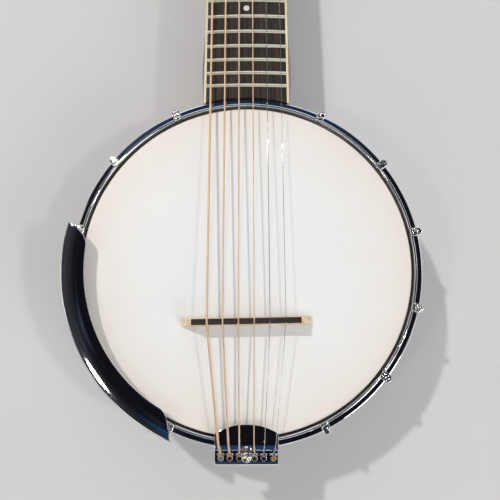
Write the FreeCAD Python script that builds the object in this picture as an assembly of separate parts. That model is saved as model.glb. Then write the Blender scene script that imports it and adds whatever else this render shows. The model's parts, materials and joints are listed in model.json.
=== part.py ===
"""A small six-string open-back banjo: an 8 inch drum pot with a short, guitar-strung neck.

The banjo lies on its back. +Z points out of the drum head, +Y runs along the neck to the
peghead, and the bass strings are on the -X side. Everything is drawn about the pot's own
axis, and the finished pieces are then shifted so that the origin is the bottom centre of
the whole instrument. All sizes are in millimetres and all angles in degrees.
"""

import FreeCAD
import Part
import os
from math import asin, atan2, cos, degrees, pi, radians, sin, sqrt, tan

V = FreeCAD.Vector
Placement = FreeCAD.Placement
Rotation = FreeCAD.Rotation
X, Y, Z = V(1, 0, 0), V(0, 1, 0), V(0, 0, 1)

GAP = 0.02                      # clearance left between two pieces that touch

# Pot: rim, head and hoops
RIM_R = 100.9                   # outside of the wooden rim of an 8 inch pot
RIM_WALL = 11.5
RIM_HEIGHT = 59.0
RIM_INNER_R = RIM_R - RIM_WALL
HEAD_TOP = 61.4                 # upper surface of the drum head
FILM = 0.35                     # thickness of the head's film
COLLAR_R = 101.45               # outside of the film where it turns down over the rim
TONE_ROD_R = 2.0
TONE_RING_R = 98.2
FLESH_LOW, FLESH_HIGH = 47.5, 52.0
FLESH_R = 105.0
HOOP_R = 102.6                  # inside of the tension hoop
HOOP_WALL_R = 105.0             # outside of its thin lower wall
HOOP_LIP_R = 108.0              # outside of the ledge that the hooks pull on
HOOP_LOW, HOOP_TOP = 52.05, 64.0
LEDGE_Z = 62.2
LIP_LOW = 59.6
RIDGE_R = 104.2                 # outside of the ridge above the ledge

# Brackets. Each angle is measured clockwise from the neck, as seen from above
HOOK_ANGLES = [26.3, 53.0, 78.4, 103.9, 128.6, 153.9, 205.5, 231.4, 257.1, 282.9, 308.7, 335.3]
ARMREST_ANGLES = [231.4, 257.1]     # the hooks that also hold the armrest's brackets
HOOK_R = 107.5                  # distance of the hook shafts from the pot's axis
SHAFT_R = 2.0
CLAW_WIDTH, CLAW_THICK = 4.8, 2.1
HOOK_LOW = 15.5
SHOE_Z = 32.0
SHOE_R, SHOE_HALF = 6.2, 5.5
SHOE_NOSE = 1.7                 # how far the nose's centre stands inside the hook's axis
NUT_FLATS, NUT_LENGTH = 7.0, 13.0

# Coordinator rod and neck bolts
ROD_Z, LOWER_STUD_Z = 36.0, 17.0
ROD_R, STUD_R = 5.0, 3.0
ROD_END = 80.0
STUD_DEPTHS = {ROD_Z: 28.0, LOWER_STUD_Z: 14.0}     # how far each stud runs into the heel
BOLT_FLATS = 10.0

# Strings, bass to treble
SCALE = 460.0                   # from the nut to twice the distance of the twelfth fret
FRETS = 20
BRIDGE_Y = -33.3
COMPENSATION = 4.5              # how much further from the nut the bridge stands than the scale
BRIDGE_TWIST = 1.1              # the treble end stands nearer to the neck
BRIDGE_STRING_Z = HEAD_TOP + 14.0
STRING_R = [0.66, 0.54, 0.43, 0.34, 0.22, 0.165]
BRIDGE_X = [-23.1 + 9.24 * i for i in range(6)]
NUT_X = [-21.0 + 8.1 * i for i in range(6)]
STEP_X = [-16.3, -10.5, -4.2, 4.3, 10.4, 16.9]
BALL_X = [-14.9, -9.7, -4.1, 4.7, 10.0, 15.6]

# Tailpiece
TAIL_HALF = 18.5
TAIL_FRONT, TAIL_BACK = 92.6, 116.3
TAIL_ARCH_R, TAIL_CORNER_R = 35.0, 2.2
APRON_Z, FLOOR_Z, SHEET = 67.8, 66.0, 1.3
STEP_Y, STEP_LENGTH, STEP_DROP = 104.6, 2.6, 1.0
REAR_STEP_Y = 113.8
FORK_LOW_Y, FORK_HIGH_Y = 109.4, 110.1
FORK_HALF, FORK_RISE = 1.9, 1.9
BALL_Y, BALL_R, BALL_HEIGHT = 111.75, 1.55, 2.6
TENSION_Y = 110.9
HANGER_WIDTH, HANGER_SHEET = 12.0, 1.8

# Armrest
ARM_INNER_R, ARM_OUTER_R = 97.0, 111.2
ARM_OUTER_Z, ARM_LIP_Z = 72.9, 69.2
ARM_SHEET = 1.5
ARM_APEX_R, ARM_CROWN_R = 104.0, 32.0

# Neck, in its own frame: y from the pot end of the fingerboard, z from its top face
BOARD_R = 108.15                # the fingerboard ends in an arc about the pot's axis
BOARD_TOP = 64.0
NECK_TILT = 2.31
BOARD_THICK = 5.0
CAMBER_R = 280.0                # radius of the fingerboard's face across its width
BOARD_HALF_POT, BOARD_HALF_NUT = 27.2, 24.3
BINDING = 1.4
FRET_WIDTH, FRET_HEIGHT = 2.2, 1.0
TANG_WIDTH, TANG_DEPTH = 0.6, 1.8
DOT_R, DOT_DEPTH = 1.95, 1.2
DOTS = [(3, 0), (5, 0), (7, 0), (9, 0), (12, -9.0), (12, 9.0), (15, 0)]
NUT_THICK, NUT_RISE = 4.5, 2.0
NECK_DEPTH = 15.0
HEEL_LOW = 7.0
JOINT_Z = 46.5                  # above this the heel is cut back to clear the hoops

# Peghead, in its own frame: y from the back of the nut, z from its front face
PEG_TILT = 9.0
PEG_DROP = 3.0                  # step from the fingerboard's face down to the peghead's
PEG_THICK, OVERLAY = 14.0, 2.0
PEG_LENGTH = 132.0

# Tuners, each in its own frame: origin on the post's axis at the peghead's back face,
# x outwards to the button, y along the peghead, z out of the peghead's face
POST_X = 20.0
POST_Y = [28.0, 62.0, 96.0]
POST_R, POST_TOP = 3.0, 13.0
WINDING_HEIGHT = 4.9            # height of a string above the peghead's face at its post
MODULE = 0.5
GEAR_TEETH = 16
GEAR_R = MODULE * GEAR_TEETH / 2
WORM_R = 2.3
WORM_Y = GEAR_R + WORM_R
WORM_Z = -4.6
GEAR_THICK = 3.6
HOUSING_DEPTH = 9.0
BASE_PLATE = 1.4
BUTTON_X = 14.5


def radial(angle):
    """Turn about the pot's axis, clockwise from above, from the neck's side to an angle."""
    return Placement(V(0, 0, 0), Rotation(Z, -angle))


def placed(shape, placement):
    """A copy of the shape, moved by the placement."""
    moved = shape.copy()
    moved.Placement = placement * moved.Placement
    return moved


def cylinder(radius, start, end):
    """A solid cylinder between two points."""
    axis = end - start
    return Part.makeCylinder(radius, axis.Length, start, axis)


def tube(outer, inner, low, high):
    """A ring about the pot's axis."""
    return Part.makeCylinder(outer, high - low, V(0, 0, low)).cut(
        Part.makeCylinder(inner, high - low + 2, V(0, 0, low - 1)))


def block(x0, x1, y0, y1, z0, z1):
    """A box given by its limits along each axis."""
    return Part.makeBox(x1 - x0, y1 - y0, z1 - z0, V(x0, y0, z0))


def prism(points, depth_axis, depth):
    """A closed polygon of points, extruded along an axis."""
    return Part.Face(Part.makePolygon(points + [points[0]])).extrude(depth_axis * depth)


def hexagon(flats, start, end):
    """A hexagonal bar between two points, one flat facing sideways."""
    axis = (end - start).normalize()
    length = (V(end) - V(start)).Length
    side = X if abs(axis.dot(X)) < 0.9 else Y
    across = axis.cross(side).normalize()
    other = across.cross(axis).normalize()
    corner = flats / sqrt(3)
    ring = [start + across * (corner * cos(radians(60 * i)))
            + other * (corner * sin(radians(60 * i))) for i in range(6)]
    return prism(ring, axis, length)


def filleted(shape, radius, chosen):
    """The shape with the edges that the test picks rounded off."""
    edges = [e for e in shape.Edges if chosen(e)]
    return shape.makeFillet(radius, edges)


def on_angles(shape, angles):
    """Copies of a piece drawn on the neck's side, one at each of the angles."""
    return Part.makeCompound([placed(shape, radial(angle)) for angle in angles])


# ---------------------------------------------------------------- pot

def bolt_holes():
    """The holes bored through the rim's wall."""
    holes = [placed(cylinder(SHAFT_R + 0.1, V(0, RIM_INNER_R - 5, SHOE_Z), V(0, RIM_R + 5, SHOE_Z)),
                    radial(angle)) for angle in HOOK_ANGLES]
    for z in (ROD_Z, LOWER_STUD_Z):
        holes.append(cylinder(STUD_R + 0.1, V(0, RIM_INNER_R - 5, z), V(0, RIM_R + 5, z)))
    holes.append(cylinder(STUD_R + 0.1, V(0, -RIM_INNER_R + 5, ROD_Z), V(0, -RIM_R - 5, ROD_Z)))
    return holes


def rim():
    """The laminated wooden ring, rounded at the back and grooved for the tone ring."""
    ring = tube(RIM_R, RIM_INNER_R, 0, RIM_HEIGHT)
    ring = filleted(ring, 1.5, lambda e: e.BoundBox.ZMax < 0.1)
    groove = Part.makeTorus(TONE_RING_R, TONE_ROD_R + GAP, V(0, 0, tone_ring_z()))
    return ring.cut(groove).cut(Part.makeCompound(bolt_holes()))


def tone_ring_z():
    return HEAD_TOP - FILM - GAP - TONE_ROD_R


def tone_ring():
    return Part.makeTorus(TONE_RING_R, TONE_ROD_R, V(0, 0, tone_ring_z()))


def head():
    """The stretched film. Its turned-down edge is the collar."""
    disc = Part.makeCylinder(COLLAR_R, FILM, V(0, 0, HEAD_TOP - FILM))
    return filleted(disc, 0.3, lambda e: e.BoundBox.ZMin > HEAD_TOP - 0.01)


def head_collar():
    return tube(COLLAR_R, COLLAR_R - FILM, FLESH_LOW + 0.5, HEAD_TOP - FILM)


def flesh_hoop():
    """The channel in which the collar is held."""
    return tube(FLESH_R, COLLAR_R + 0.05, FLESH_LOW, FLESH_HIGH)


def tension_hoop():
    """The plated hoop: a ridge round the head and a lower ledge, notched at each hook."""
    def at(r, z):
        return V(r, 0, z)

    outline = [
        Part.LineSegment(at(HOOP_R, HOOP_LOW), at(HOOP_WALL_R, HOOP_LOW)),
        Part.LineSegment(at(HOOP_WALL_R, HOOP_LOW), at(HOOP_WALL_R, LIP_LOW - 1.2)),
        Part.LineSegment(at(HOOP_WALL_R, LIP_LOW - 1.2), at(HOOP_LIP_R - 0.8, LIP_LOW)),
        Part.Arc(at(HOOP_LIP_R - 0.8, LIP_LOW), at(HOOP_LIP_R, (LIP_LOW + LEDGE_Z) / 2),
                 at(HOOP_LIP_R - 1.1, LEDGE_Z)),
        Part.LineSegment(at(HOOP_LIP_R - 1.1, LEDGE_Z), at(RIDGE_R, LEDGE_Z)),
        Part.LineSegment(at(RIDGE_R, LEDGE_Z), at(RIDGE_R, HOOP_TOP - 0.6)),
        Part.Arc(at(RIDGE_R, HOOP_TOP - 0.6), at((HOOP_R + RIDGE_R) / 2, HOOP_TOP),
                 at(HOOP_R, HOOP_TOP - 0.6)),
        Part.LineSegment(at(HOOP_R, HOOP_TOP - 0.6), at(HOOP_R, HOOP_LOW)),
    ]
    face = Part.Face(Part.Wire([piece.toShape() for piece in outline]))
    ring = face.revolve(V(0, 0, 0), Z, 360)
    half = CLAW_WIDTH / 2 + 0.15
    ridge_notch = block(-half, half, HOOP_R - 2, RIDGE_R + 0.5, LEDGE_Z, HOOP_TOP + 2)
    lip_notch = block(-half, half, HOOP_WALL_R + 0.3, HOOP_LIP_R + 2, LIP_LOW - 2, HOOP_TOP)
    return ring.cut(on_angles(ridge_notch.fuse(lip_notch), HOOK_ANGLES))


def bracket_hook():
    """One hook: a flat claw over the ledge on a round shaft that ends inside its nut."""
    low, high = LEDGE_Z + GAP, LEDGE_Z + CLAW_THICK
    half = CLAW_WIDTH / 2
    claw = block(-half, half, HOOP_R + 0.2, HOOK_R, low, high)
    crown = Part.makeCylinder(half, CLAW_THICK - GAP, V(0, HOOK_R, low))
    claw = claw.fuse(crown).removeSplitter()
    claw = filleted(claw, 0.6, lambda e: e.BoundBox.ZMin > high - 0.01)
    shaft = cylinder(SHAFT_R, V(0, HOOK_R, HOOK_LOW), V(0, HOOK_R, low + 0.5))
    shaft = shaft.makeChamfer(0.5, [e for e in shaft.Edges if e.BoundBox.ZMax < HOOK_LOW + 0.01])
    return claw.fuse(shaft).removeSplitter()


def nut_top(angle):
    """An armrest bracket's foot sits between the shoe and the nut on two of the hooks."""
    foot = ARM_SHEET if angle in ARMREST_ANGLES else 0
    return SHOE_Z - SHOE_HALF - GAP - foot


def bracket_nut(top):
    """A closed hexagonal nut, drilled from its upper end."""
    nut = hexagon(NUT_FLATS, V(0, HOOK_R, top), V(0, HOOK_R, top - NUT_LENGTH))
    cone = Part.makeCone(NUT_FLATS / 2 + 3.2, NUT_FLATS / 2 - 1.2, 4.4, V(0, HOOK_R, top - NUT_LENGTH + 4.4), -Z)
    keep = Part.makeCylinder(NUT_FLATS, NUT_LENGTH - 4.4, V(0, HOOK_R, top - NUT_LENGTH + 4.4)).fuse(cone)
    drilled = cylinder(SHAFT_R + GAP, V(0, HOOK_R, HOOK_LOW - 0.5), V(0, HOOK_R, top + 1))
    return nut.common(keep).cut(drilled)


def bracket_shoe():
    """A bullet-shaped bracket bolted to the rim, drilled for its hook."""
    back = V(0, RIM_R - 1, SHOE_Z)
    nose = V(0, HOOK_R - SHOE_NOSE, SHOE_Z)
    body = cylinder(SHOE_R, back, nose).fuse(Part.makeSphere(SHOE_R, nose))
    body = body.common(block(-SHOE_R, SHOE_R, RIM_R - 2, RIM_R + 20,
                             SHOE_Z - SHOE_HALF, SHOE_Z + SHOE_HALF))
    body = body.cut(Part.makeCylinder(RIM_R + GAP, 100))
    body = body.cut(cylinder(SHAFT_R + 0.15, V(0, HOOK_R, 0), V(0, HOOK_R, 60)))
    return body.cut(cylinder(SHAFT_R, back, V(0, HOOK_R - SHAFT_R - 0.6, SHOE_Z)))


def shoe_screw():
    """The screw that holds a shoe, put in from inside the pot."""
    head_top = RIM_INNER_R - 3.4
    shank = cylinder(SHAFT_R - GAP, V(0, head_top, SHOE_Z), V(0, HOOK_R - SHAFT_R - 0.8, SHOE_Z))
    cap = cylinder(3.8, V(0, head_top, SHOE_Z), V(0, head_top + 2.0, SHOE_Z))
    cap = filleted(cap, 1.2, lambda e: e.BoundBox.YMax < head_top + 0.01)
    slot = block(-0.5, 0.5, head_top - 1, head_top + 0.9, SHOE_Z - 5, SHOE_Z + 5)
    return cap.fuse(shank).removeSplitter().cut(slot)


def curved_washer(z, outer, inner, thick=1.4):
    """A washer whose back follows the inside of the rim."""
    front = RIM_INNER_R - thick
    ring = cylinder(outer, V(0, front, z), V(0, RIM_INNER_R + 1, z))
    ring = ring.cut(cylinder(inner, V(0, front - 1, z), V(0, RIM_INNER_R + 2, z)))
    return ring.common(Part.makeCylinder(RIM_INNER_R - GAP, 100))


# ---------------------------------------------------------------- rod and neck bolts

def coordinator_rod():
    """The steel rod across the pot. Each end is tapped for a stud or bolt."""
    rod = cylinder(ROD_R, V(0, -ROD_END, ROD_Z), V(0, ROD_END, ROD_Z))
    rod = rod.makeChamfer(0.8, [e for e in rod.Edges if abs(e.BoundBox.YMax - e.BoundBox.YMin) < 0.1])
    for end in (-1, 1):
        rod = rod.cut(cylinder(STUD_R + GAP, V(0, end * (ROD_END - 14), ROD_Z),
                               V(0, end * (ROD_END + 1), ROD_Z)))
    return rod


def hex_nut(z, side):
    """A nut against the washer on the inside of the rim."""
    face = RIM_INNER_R - 1.6
    nut = hexagon(BOLT_FLATS, V(0, side * face, z), V(0, side * (face - 5), z))
    return nut.cut(cylinder(STUD_R + GAP, V(0, side * (face + 1), z), V(0, side * (face - 6), z)))


def rod_nuts():
    return Part.makeCompound([hex_nut(ROD_Z, 1), hex_nut(ROD_Z, -1), hex_nut(LOWER_STUD_Z, 1)])


def curved_washers():
    """Those under the shoe screws' heads, and the larger ones under the rod's nuts."""
    small = [placed(curved_washer(SHOE_Z, 5.5, SHAFT_R + 0.1), radial(angle)) for angle in HOOK_ANGLES]
    large = [curved_washer(z, 7.5, STUD_R + 0.1) for z in (ROD_Z, LOWER_STUD_Z)]
    return Part.makeCompound(small + large + [placed(large[0], radial(180))])


def neck_studs():
    """Two threaded studs fixed in the heel. The upper one also enters the rod."""
    inner_ends = {ROD_Z: ROD_END - 13, LOWER_STUD_Z: RIM_INNER_R - 9}
    return Part.makeCompound([cylinder(STUD_R, V(0, inner_ends[z], z), V(0, RIM_R + depth, z))
                              for z, depth in STUD_DEPTHS.items()])


def end_bolt():
    """The bolt that fixes the tailpiece hanger and the tail end of the rod."""
    face = RIM_R + 0.1 + HANGER_SHEET + GAP
    shank = cylinder(STUD_R, V(0, -ROD_END + 13, ROD_Z), V(0, -face - 1, ROD_Z))
    cap = hexagon(BOLT_FLATS, V(0, -face, ROD_Z), V(0, -face - 4, ROD_Z))
    dome = Part.makeSphere(9.0, V(0, -face + 4.4, ROD_Z))
    return cap.common(dome).fuse(shank).removeSplitter()


# ---------------------------------------------------------------- armrest

def polar(radius, angle, z=0.0):
    """A point about the pot's axis. The angle runs from +Y towards -X."""
    return V(-radius * sin(radians(angle)), radius * cos(radians(angle)), z)


def armrest_plate():
    """A plated strip over the bass side of the hoop, slightly crowned, with its outer edge turned down."""
    apex = V(ARM_APEX_R, 0, ARM_OUTER_Z - ARM_CROWN_R)

    def crown(radius, first, last):
        """An arc of the crowned section, between two tilts from level."""
        ends = [apex + V(radius * sin(t), 0, radius * cos(t)) for t in (first, (first + last) / 2, last)]
        return Part.Arc(*ends).toShape(), ends[0], ends[2]

    bend_r = ARM_OUTER_R - ARM_SHEET
    inner = -asin((ARM_APEX_R - ARM_INNER_R + 1) / ARM_CROWN_R)
    outer = asin((bend_r - ARM_APEX_R) / (ARM_CROWN_R - ARM_SHEET))
    top, top_in, top_out = crown(ARM_CROWN_R, inner, outer)
    low, low_in, low_out = crown(ARM_CROWN_R - ARM_SHEET, inner, outer)
    middle = (outer + pi / 2) / 2
    bend = Part.Arc(top_out, low_out + V(ARM_SHEET * sin(middle), 0, ARM_SHEET * cos(middle)),
                    low_out + V(ARM_SHEET, 0, 0)).toShape()
    lip = Part.makePolygon([low_out + V(ARM_SHEET, 0, 0), V(ARM_OUTER_R, 0, ARM_LIP_Z), V(bend_r, 0, ARM_LIP_Z),
                            low_out])
    section = Part.Face(Part.Wire([top, bend] + lip.Edges + [low, Part.makeLine(low_in, top_in)]))
    section.rotate(V(0, 0, 0), Z, 90 + 70)
    sheet = section.revolve(V(0, 0, 0), Z, 95)
    far = ARM_OUTER_R + 1
    corners = [
        Part.Arc(polar(far, 76.2), polar(105.5, 77.3), polar(100.2, 79.4)).toShape(),
        Part.Arc(polar(100.2, 79.4), polar(98.0, 81.0), polar(ARM_INNER_R, 83.6)).toShape(),
        Part.Arc(polar(ARM_INNER_R, 83.6), polar(ARM_INNER_R, 115), polar(ARM_INNER_R, 149.4)).toShape(),
        Part.Arc(polar(ARM_INNER_R, 149.4), polar(98.3, 151.4), polar(100.2, 152.7)).toShape(),
        Part.Arc(polar(100.2, 152.7), polar(106.0, 155.0), polar(far, 157.0)).toShape(),
        Part.Arc(polar(far, 157.0), polar(far, 115), polar(far, 76.2)).toShape(),
    ]
    plan = Part.Face(Part.Wire(corners)).extrude(Z * 90)
    return sheet.common(plan)


def armrest_bracket():
    """One strap, from under the armrest down to a foot clamped between a shoe and its nut."""
    top, low = SHOE_Z - SHOE_HALF - GAP, SHOE_Z - SHOE_HALF - GAP - ARM_SHEET + GAP
    outer, wide = 113.8, 4
    foot = block(-wide, wide, HOOK_R, outer, low, top)
    foot = foot.fuse(Part.makeCylinder(4.0, top - low, V(0, HOOK_R, low)))
    profile = [(outer, low), (outer, 63.4), (109.5, 69.0), (109.5, 71.0), (100.5, 70.7), (100.5, 69.2),
               (108.0, 69.4), (108.0, 68.2), (outer - ARM_SHEET, 62.8), (outer - ARM_SHEET, low)]
    strap = prism([V(-wide, r, z) for r, z in profile], X, 2 * wide)
    strap = strap.fuse(foot).removeSplitter()
    return strap.cut(cylinder(SHAFT_R + 0.1, V(0, HOOK_R, low - 1), V(0, HOOK_R, top + 1)))


def armrest_brackets(plate):
    straps = [placed(armrest_bracket(), radial(angle)).cut(plate) for angle in ARMREST_ANGLES]
    return Part.makeCompound(straps)


# ---------------------------------------------------------------- tailpiece

def tailpiece_rays():
    """The small raised arrowhead stamped in the plate, in front of the tension screw."""
    tip, z = V(-0.3, -TENSION_Y + 3.4, FLOOR_Z + 0.1), V(0, 0, FLOOR_Z + 0.1)
    feet = [V(-2.6, -TENSION_Y + 1.9, 0) + z, V(-0.3, -TENSION_Y + 2.1, 0) + z, V(2.4, -TENSION_Y + 1.9, 0) + z]
    return [cylinder(0.42, tip, foot) for foot in feet]


def tailpiece_plate(strings):
    """The stamped plate: an arched apron, two sloped steps and a fork for each ball end."""
    def at(r, z):
        return V(-TAIL_HALF, -r, z)

    under = APRON_Z - SHEET
    step_end, rear_edge = STEP_Y + STEP_LENGTH, TAIL_BACK - 0.4
    corners = [
        (TAIL_FRONT - 1, APRON_Z), (STEP_Y, APRON_Z), (step_end, APRON_Z - STEP_DROP), (step_end + 0.35, FLOOR_Z),
        (REAR_STEP_Y, FLOOR_Z), (rear_edge, FLOOR_Z - 0.9), (TAIL_BACK, FLOOR_Z - 1.6), (TAIL_BACK, 56),
        (TAIL_BACK - SHEET, 56), (TAIL_BACK - SHEET, FLOOR_Z - SHEET - 0.8), (REAR_STEP_Y - 0.3, FLOOR_Z - SHEET),
        (step_end - 1.0, FLOOR_Z - SHEET), (step_end - 1.3, under - STEP_DROP), (STEP_Y - 0.3, under),
        (TAIL_FRONT - 1, under),
    ]
    plate = prism([at(r, z) for r, z in corners], X, 2 * TAIL_HALF)
    plate = filleted(plate, 0.25, lambda e: e.BoundBox.XLength > TAIL_HALF and e.BoundBox.ZMin > FLOOR_Z - 2
                     and e.CenterOfMass.z > APRON_Z - STEP_DROP - 0.5 and e.CenterOfMass.y < -STEP_Y + 1)
    arch = Part.makeCylinder(TAIL_ARCH_R, 40, V(0, -TAIL_FRONT - TAIL_ARCH_R, 40))
    plate = plate.common(arch)
    plate = filleted(plate, TAIL_CORNER_R, lambda e: e.BoundBox.ZLength > SHEET / 2 and e.BoundBox.XLength < 0.01
                     and e.CenterOfMass.y > -STEP_Y + 1)
    for x in BALL_X:
        plate = plate.fuse(block(x - FORK_HALF, x + FORK_HALF, -FORK_HIGH_Y, -FORK_LOW_Y,
                                 FLOOR_Z - 0.2, FLOOR_Z + FORK_RISE))
    for ray in tailpiece_rays():
        plate = plate.fuse(ray)
    plate = plate.removeSplitter()
    for x, r in zip(BALL_X, STRING_R):
        slot = max(r + 0.25, 0.6)
        plate = plate.cut(block(x - slot, x + slot, -FORK_HIGH_Y - 0.2, -FORK_LOW_Y + 0.2, FLOOR_Z + 0.3, 80))
    plate = plate.cut(cylinder(1.65, V(0, -TENSION_Y, 50), V(0, -TENSION_Y, FLOOR_Z)))
    plate = plate.cut(cylinder(1.8, V(0, -TENSION_Y, FLOOR_Z), V(0, -TENSION_Y, 80)))
    for string in strings:
        plate = plate.cut(string)
    return plate


def tailpiece_hanger():
    """The bent strap that carries the tailpiece, held to the rim by the end bolt."""
    r0, r1 = RIM_R + 0.1, RIM_R + 0.1 + HANGER_SHEET
    points = [(r0, 27), (r1, 27), (r1, 42.2), (114.4, 51.5), (114.4, 62.4), (108.5, 62.4),
              (108.5, 60.6), (112.6, 60.6), (112.6, 52.4), (r0, 43.1)]
    strap = prism([V(-HANGER_WIDTH / 2, -r, z) for r, z in points], X, HANGER_WIDTH)
    strap = strap.cut(cylinder(STUD_R + 0.1, V(0, -90, ROD_Z), V(0, -110, ROD_Z)))
    return strap.cut(cylinder(1.55, V(0, -TENSION_Y, 55), V(0, -TENSION_Y, 70)))


def tension_screw():
    """The slotted screw that draws the tailpiece down to its hanger."""
    centre = V(0, -TENSION_Y, 0)
    shank = Part.makeCylinder(1.5, 10.5, centre + V(0, 0, 58.4))
    collar = Part.makeCylinder(1.75, 2.9, centre + V(0, 0, FLOOR_Z + GAP))
    cap = Part.makeCylinder(2.85, 1.7, centre + V(0, 0, 68.75))
    cap = filleted(cap, 0.6, lambda e: e.BoundBox.ZMin > 70.4)
    cap = cap.cut(Part.makeTorus(1.75, 0.4, centre + V(0, 0, 70.55)))
    dome = Part.makeSphere(1.5, centre + V(0, 0, 69.8)).common(Part.makeCylinder(1.3, 3, centre + V(0, 0, 69)))
    slot = block(-4, 4, -0.3, 0.3, 70.0, 72)
    slot.rotate(V(0, 0, 0), Z, 60)
    slot.translate(centre)
    return cap.fuse([dome, collar, shank]).removeSplitter().cut(slot)


def ball_ends():
    """The grooved brass ferrules at the strings' ends, one behind each fork."""
    balls = []
    for x in BALL_X:
        centre = V(x, -BALL_Y, FLOOR_Z + GAP)
        ball = Part.makeCylinder(BALL_R, BALL_HEIGHT, centre)
        ball = filleted(ball, 0.3, lambda e: e.BoundBox.ZMax - e.BoundBox.ZMin < 0.01)
        ball = ball.cut(Part.makeTorus(BALL_R + 0.35, 0.7, centre + V(0, 0, BALL_HEIGHT / 2)))
        balls.append(ball.cut(Part.makeCylinder(0.65, 4, centre - V(0, 0, 1))))
    return Part.makeCompound(balls)


# ---------------------------------------------------------------- bridge

def bridge_place():
    return Placement(V(0, BRIDGE_Y, HEAD_TOP + GAP), Rotation(Z, BRIDGE_TWIST))


def bridge():
    """The three-footed maple body, thicker at its feet than at its top."""
    shoulder, top, half_top, half = 2.2, 10.8, 32.2, 39.0
    body = prism([V(-half, -3, 0), V(half, -3, 0), V(half, -3, shoulder), V(half_top, -3, top),
                  V(-half_top, -3, top), V(-half, -3, shoulder)], Y, 6)
    for side in (-1, 1):
        arch = Part.makeCylinder(5.5, 8, V(side * 14.0, -4, 0), Y)
        body = body.cut(placed(arch, Placement(V(0, 0, 1.2), Rotation())))
        body = body.cut(block(side * 14.0 - 5.5, side * 14.0 + 5.5, -4, 4, -1, 1.2))
    for side in (-1, 1):
        wedge = prism([V(-half - 1, side * 2.8, -1), V(-half - 1, side * 1.75, top + 1),
                       V(-half - 1, side * 5, top + 1), V(-half - 1, side * 5, -1)], X, 2 * half + 2)
        body = body.cut(wedge)
    return placed(body, bridge_place())


def bridge_cap(strings):
    """The ebony strip in whose notches the strings lie."""
    cap = block(-32.2, 32.2, -1.75, 1.75, 10.8 + GAP, 14.0)
    cap = filleted(cap, 0.5, lambda e: e.BoundBox.ZMin > 13.9 and e.Length > 10)
    cap = placed(cap, bridge_place())
    for string in strings:
        cap = cap.cut(string)
    return cap


# ---------------------------------------------------------------- neck

def neck_place():
    return Placement(V(0, BOARD_R, BOARD_TOP), Rotation(X, -NECK_TILT))


def nut_y():
    """Distance of the nut's working edge from the pot end of the fingerboard."""
    return (BRIDGE_Y + COMPENSATION + SCALE - BOARD_R) / cos(radians(NECK_TILT))


def fret_y(number):
    """Distance of a fret from the pot end of the fingerboard, by equal temperament."""
    return nut_y() - SCALE * (1 - 2 ** (-number / 12.0))


def board_half(y):
    share = y / nut_y()
    return BOARD_HALF_POT + (BOARD_HALF_NUT - BOARD_HALF_POT) * share


def tapered(y0, y1, inset, z0, z1):
    """A slab of the fingerboard's taper, set in from its edges."""
    a, b = board_half(y0) - inset, board_half(y1) - inset
    return prism([V(-a, y0, z0), V(a, y0, z0), V(b, y1, z0), V(-b, y1, z0)], Z, z1 - z0)


def camber(raised=0.0):
    """The long cylinder whose face is the fingerboard's, or one raised above it."""
    return Part.makeCylinder(CAMBER_R + raised, 600, V(0, -30, -CAMBER_R), Y)


def camber_drop(x):
    """How far the fingerboard's face falls away at a distance from its centre line."""
    return CAMBER_R - sqrt(CAMBER_R ** 2 - x ** 2)


def across_board(profile, half):
    """A profile drawn in the plane x = 0, swept across the fingerboard along its camber."""
    turn = degrees(asin(half / CAMBER_R))
    face = Part.Face(profile)
    face.rotate(V(0, 0, -CAMBER_R), Y, -turn)
    return face.revolve(V(0, 0, -CAMBER_R), Y, 2 * turn)


def pot_clearance():
    """What the neck is cut back by: the rim below, and the hoops above."""
    lower = Part.makeCylinder(RIM_R + GAP, JOINT_Z + 20, V(0, 0, -20))
    return lower.fuse(Part.makeCylinder(BOARD_R, 60, V(0, 0, JOINT_Z)))


def fretboard():
    board = tapered(-6, nut_y(), BINDING, -BOARD_THICK, 0).common(camber())
    for number in range(1, FRETS + 1):
        y = fret_y(number)
        half = TANG_WIDTH / 2 + GAP
        slot = Part.makePolygon([V(0, y - half, 1), V(0, y + half, 1), V(0, y + half, -TANG_DEPTH - GAP),
                                 V(0, y - half, -TANG_DEPTH - GAP), V(0, y - half, 1)])
        board = board.cut(across_board(slot, 40))
    for number, x in DOTS:
        board = board.cut(Part.makeCylinder(DOT_R + GAP, DOT_DEPTH + 1, V(x, dot_y(number), -DOT_DEPTH)))
    return placed(board, neck_place()).cut(pot_clearance())


def dot_y(number):
    return (fret_y(number) + fret_y(number - 1)) / 2


def fretboard_binding():
    strips = []
    for side in (-1, 1):
        a, b = board_half(-6) * side, board_half(nut_y()) * side
        inset = (BINDING - GAP) * side
        strip = prism([V(a - inset, -6, -BOARD_THICK), V(a, -6, -BOARD_THICK),
                       V(b, nut_y(), -BOARD_THICK), V(b - inset, nut_y(), -BOARD_THICK)], Z, BOARD_THICK)
        strips.append(placed(strip.common(camber()), neck_place()).cut(pot_clearance()))
    return Part.makeCompound(strips)


def frets():
    """Round-topped wires with tangs in the fingerboard's slots."""
    wires = []
    for number in range(1, FRETS + 1):
        y = fret_y(number)
        half = board_half(y) - BINDING - 0.1
        low, width = GAP / 2, FRET_WIDTH / 2
        tang = TANG_WIDTH / 2
        crown = Part.Arc(V(0, y - width, low), V(0, y, FRET_HEIGHT), V(0, y + width, low)).toShape()
        below = [V(0, y + width, low), V(0, y + tang, low), V(0, y + tang, -TANG_DEPTH),
                 V(0, y - tang, -TANG_DEPTH), V(0, y - tang, low), V(0, y - width, low)]
        profile = Part.Wire([crown] + Part.makePolygon(below).Edges)
        wires.append(placed(across_board(profile, half), neck_place()))
    return Part.makeCompound(wires)


def position_dots():
    discs = [Part.makeCylinder(DOT_R, DOT_DEPTH - GAP, V(x, dot_y(number), -DOT_DEPTH + GAP))
             for number, x in DOTS]
    return placed(Part.makeCompound([disc.common(camber()) for disc in discs]), neck_place())


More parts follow.
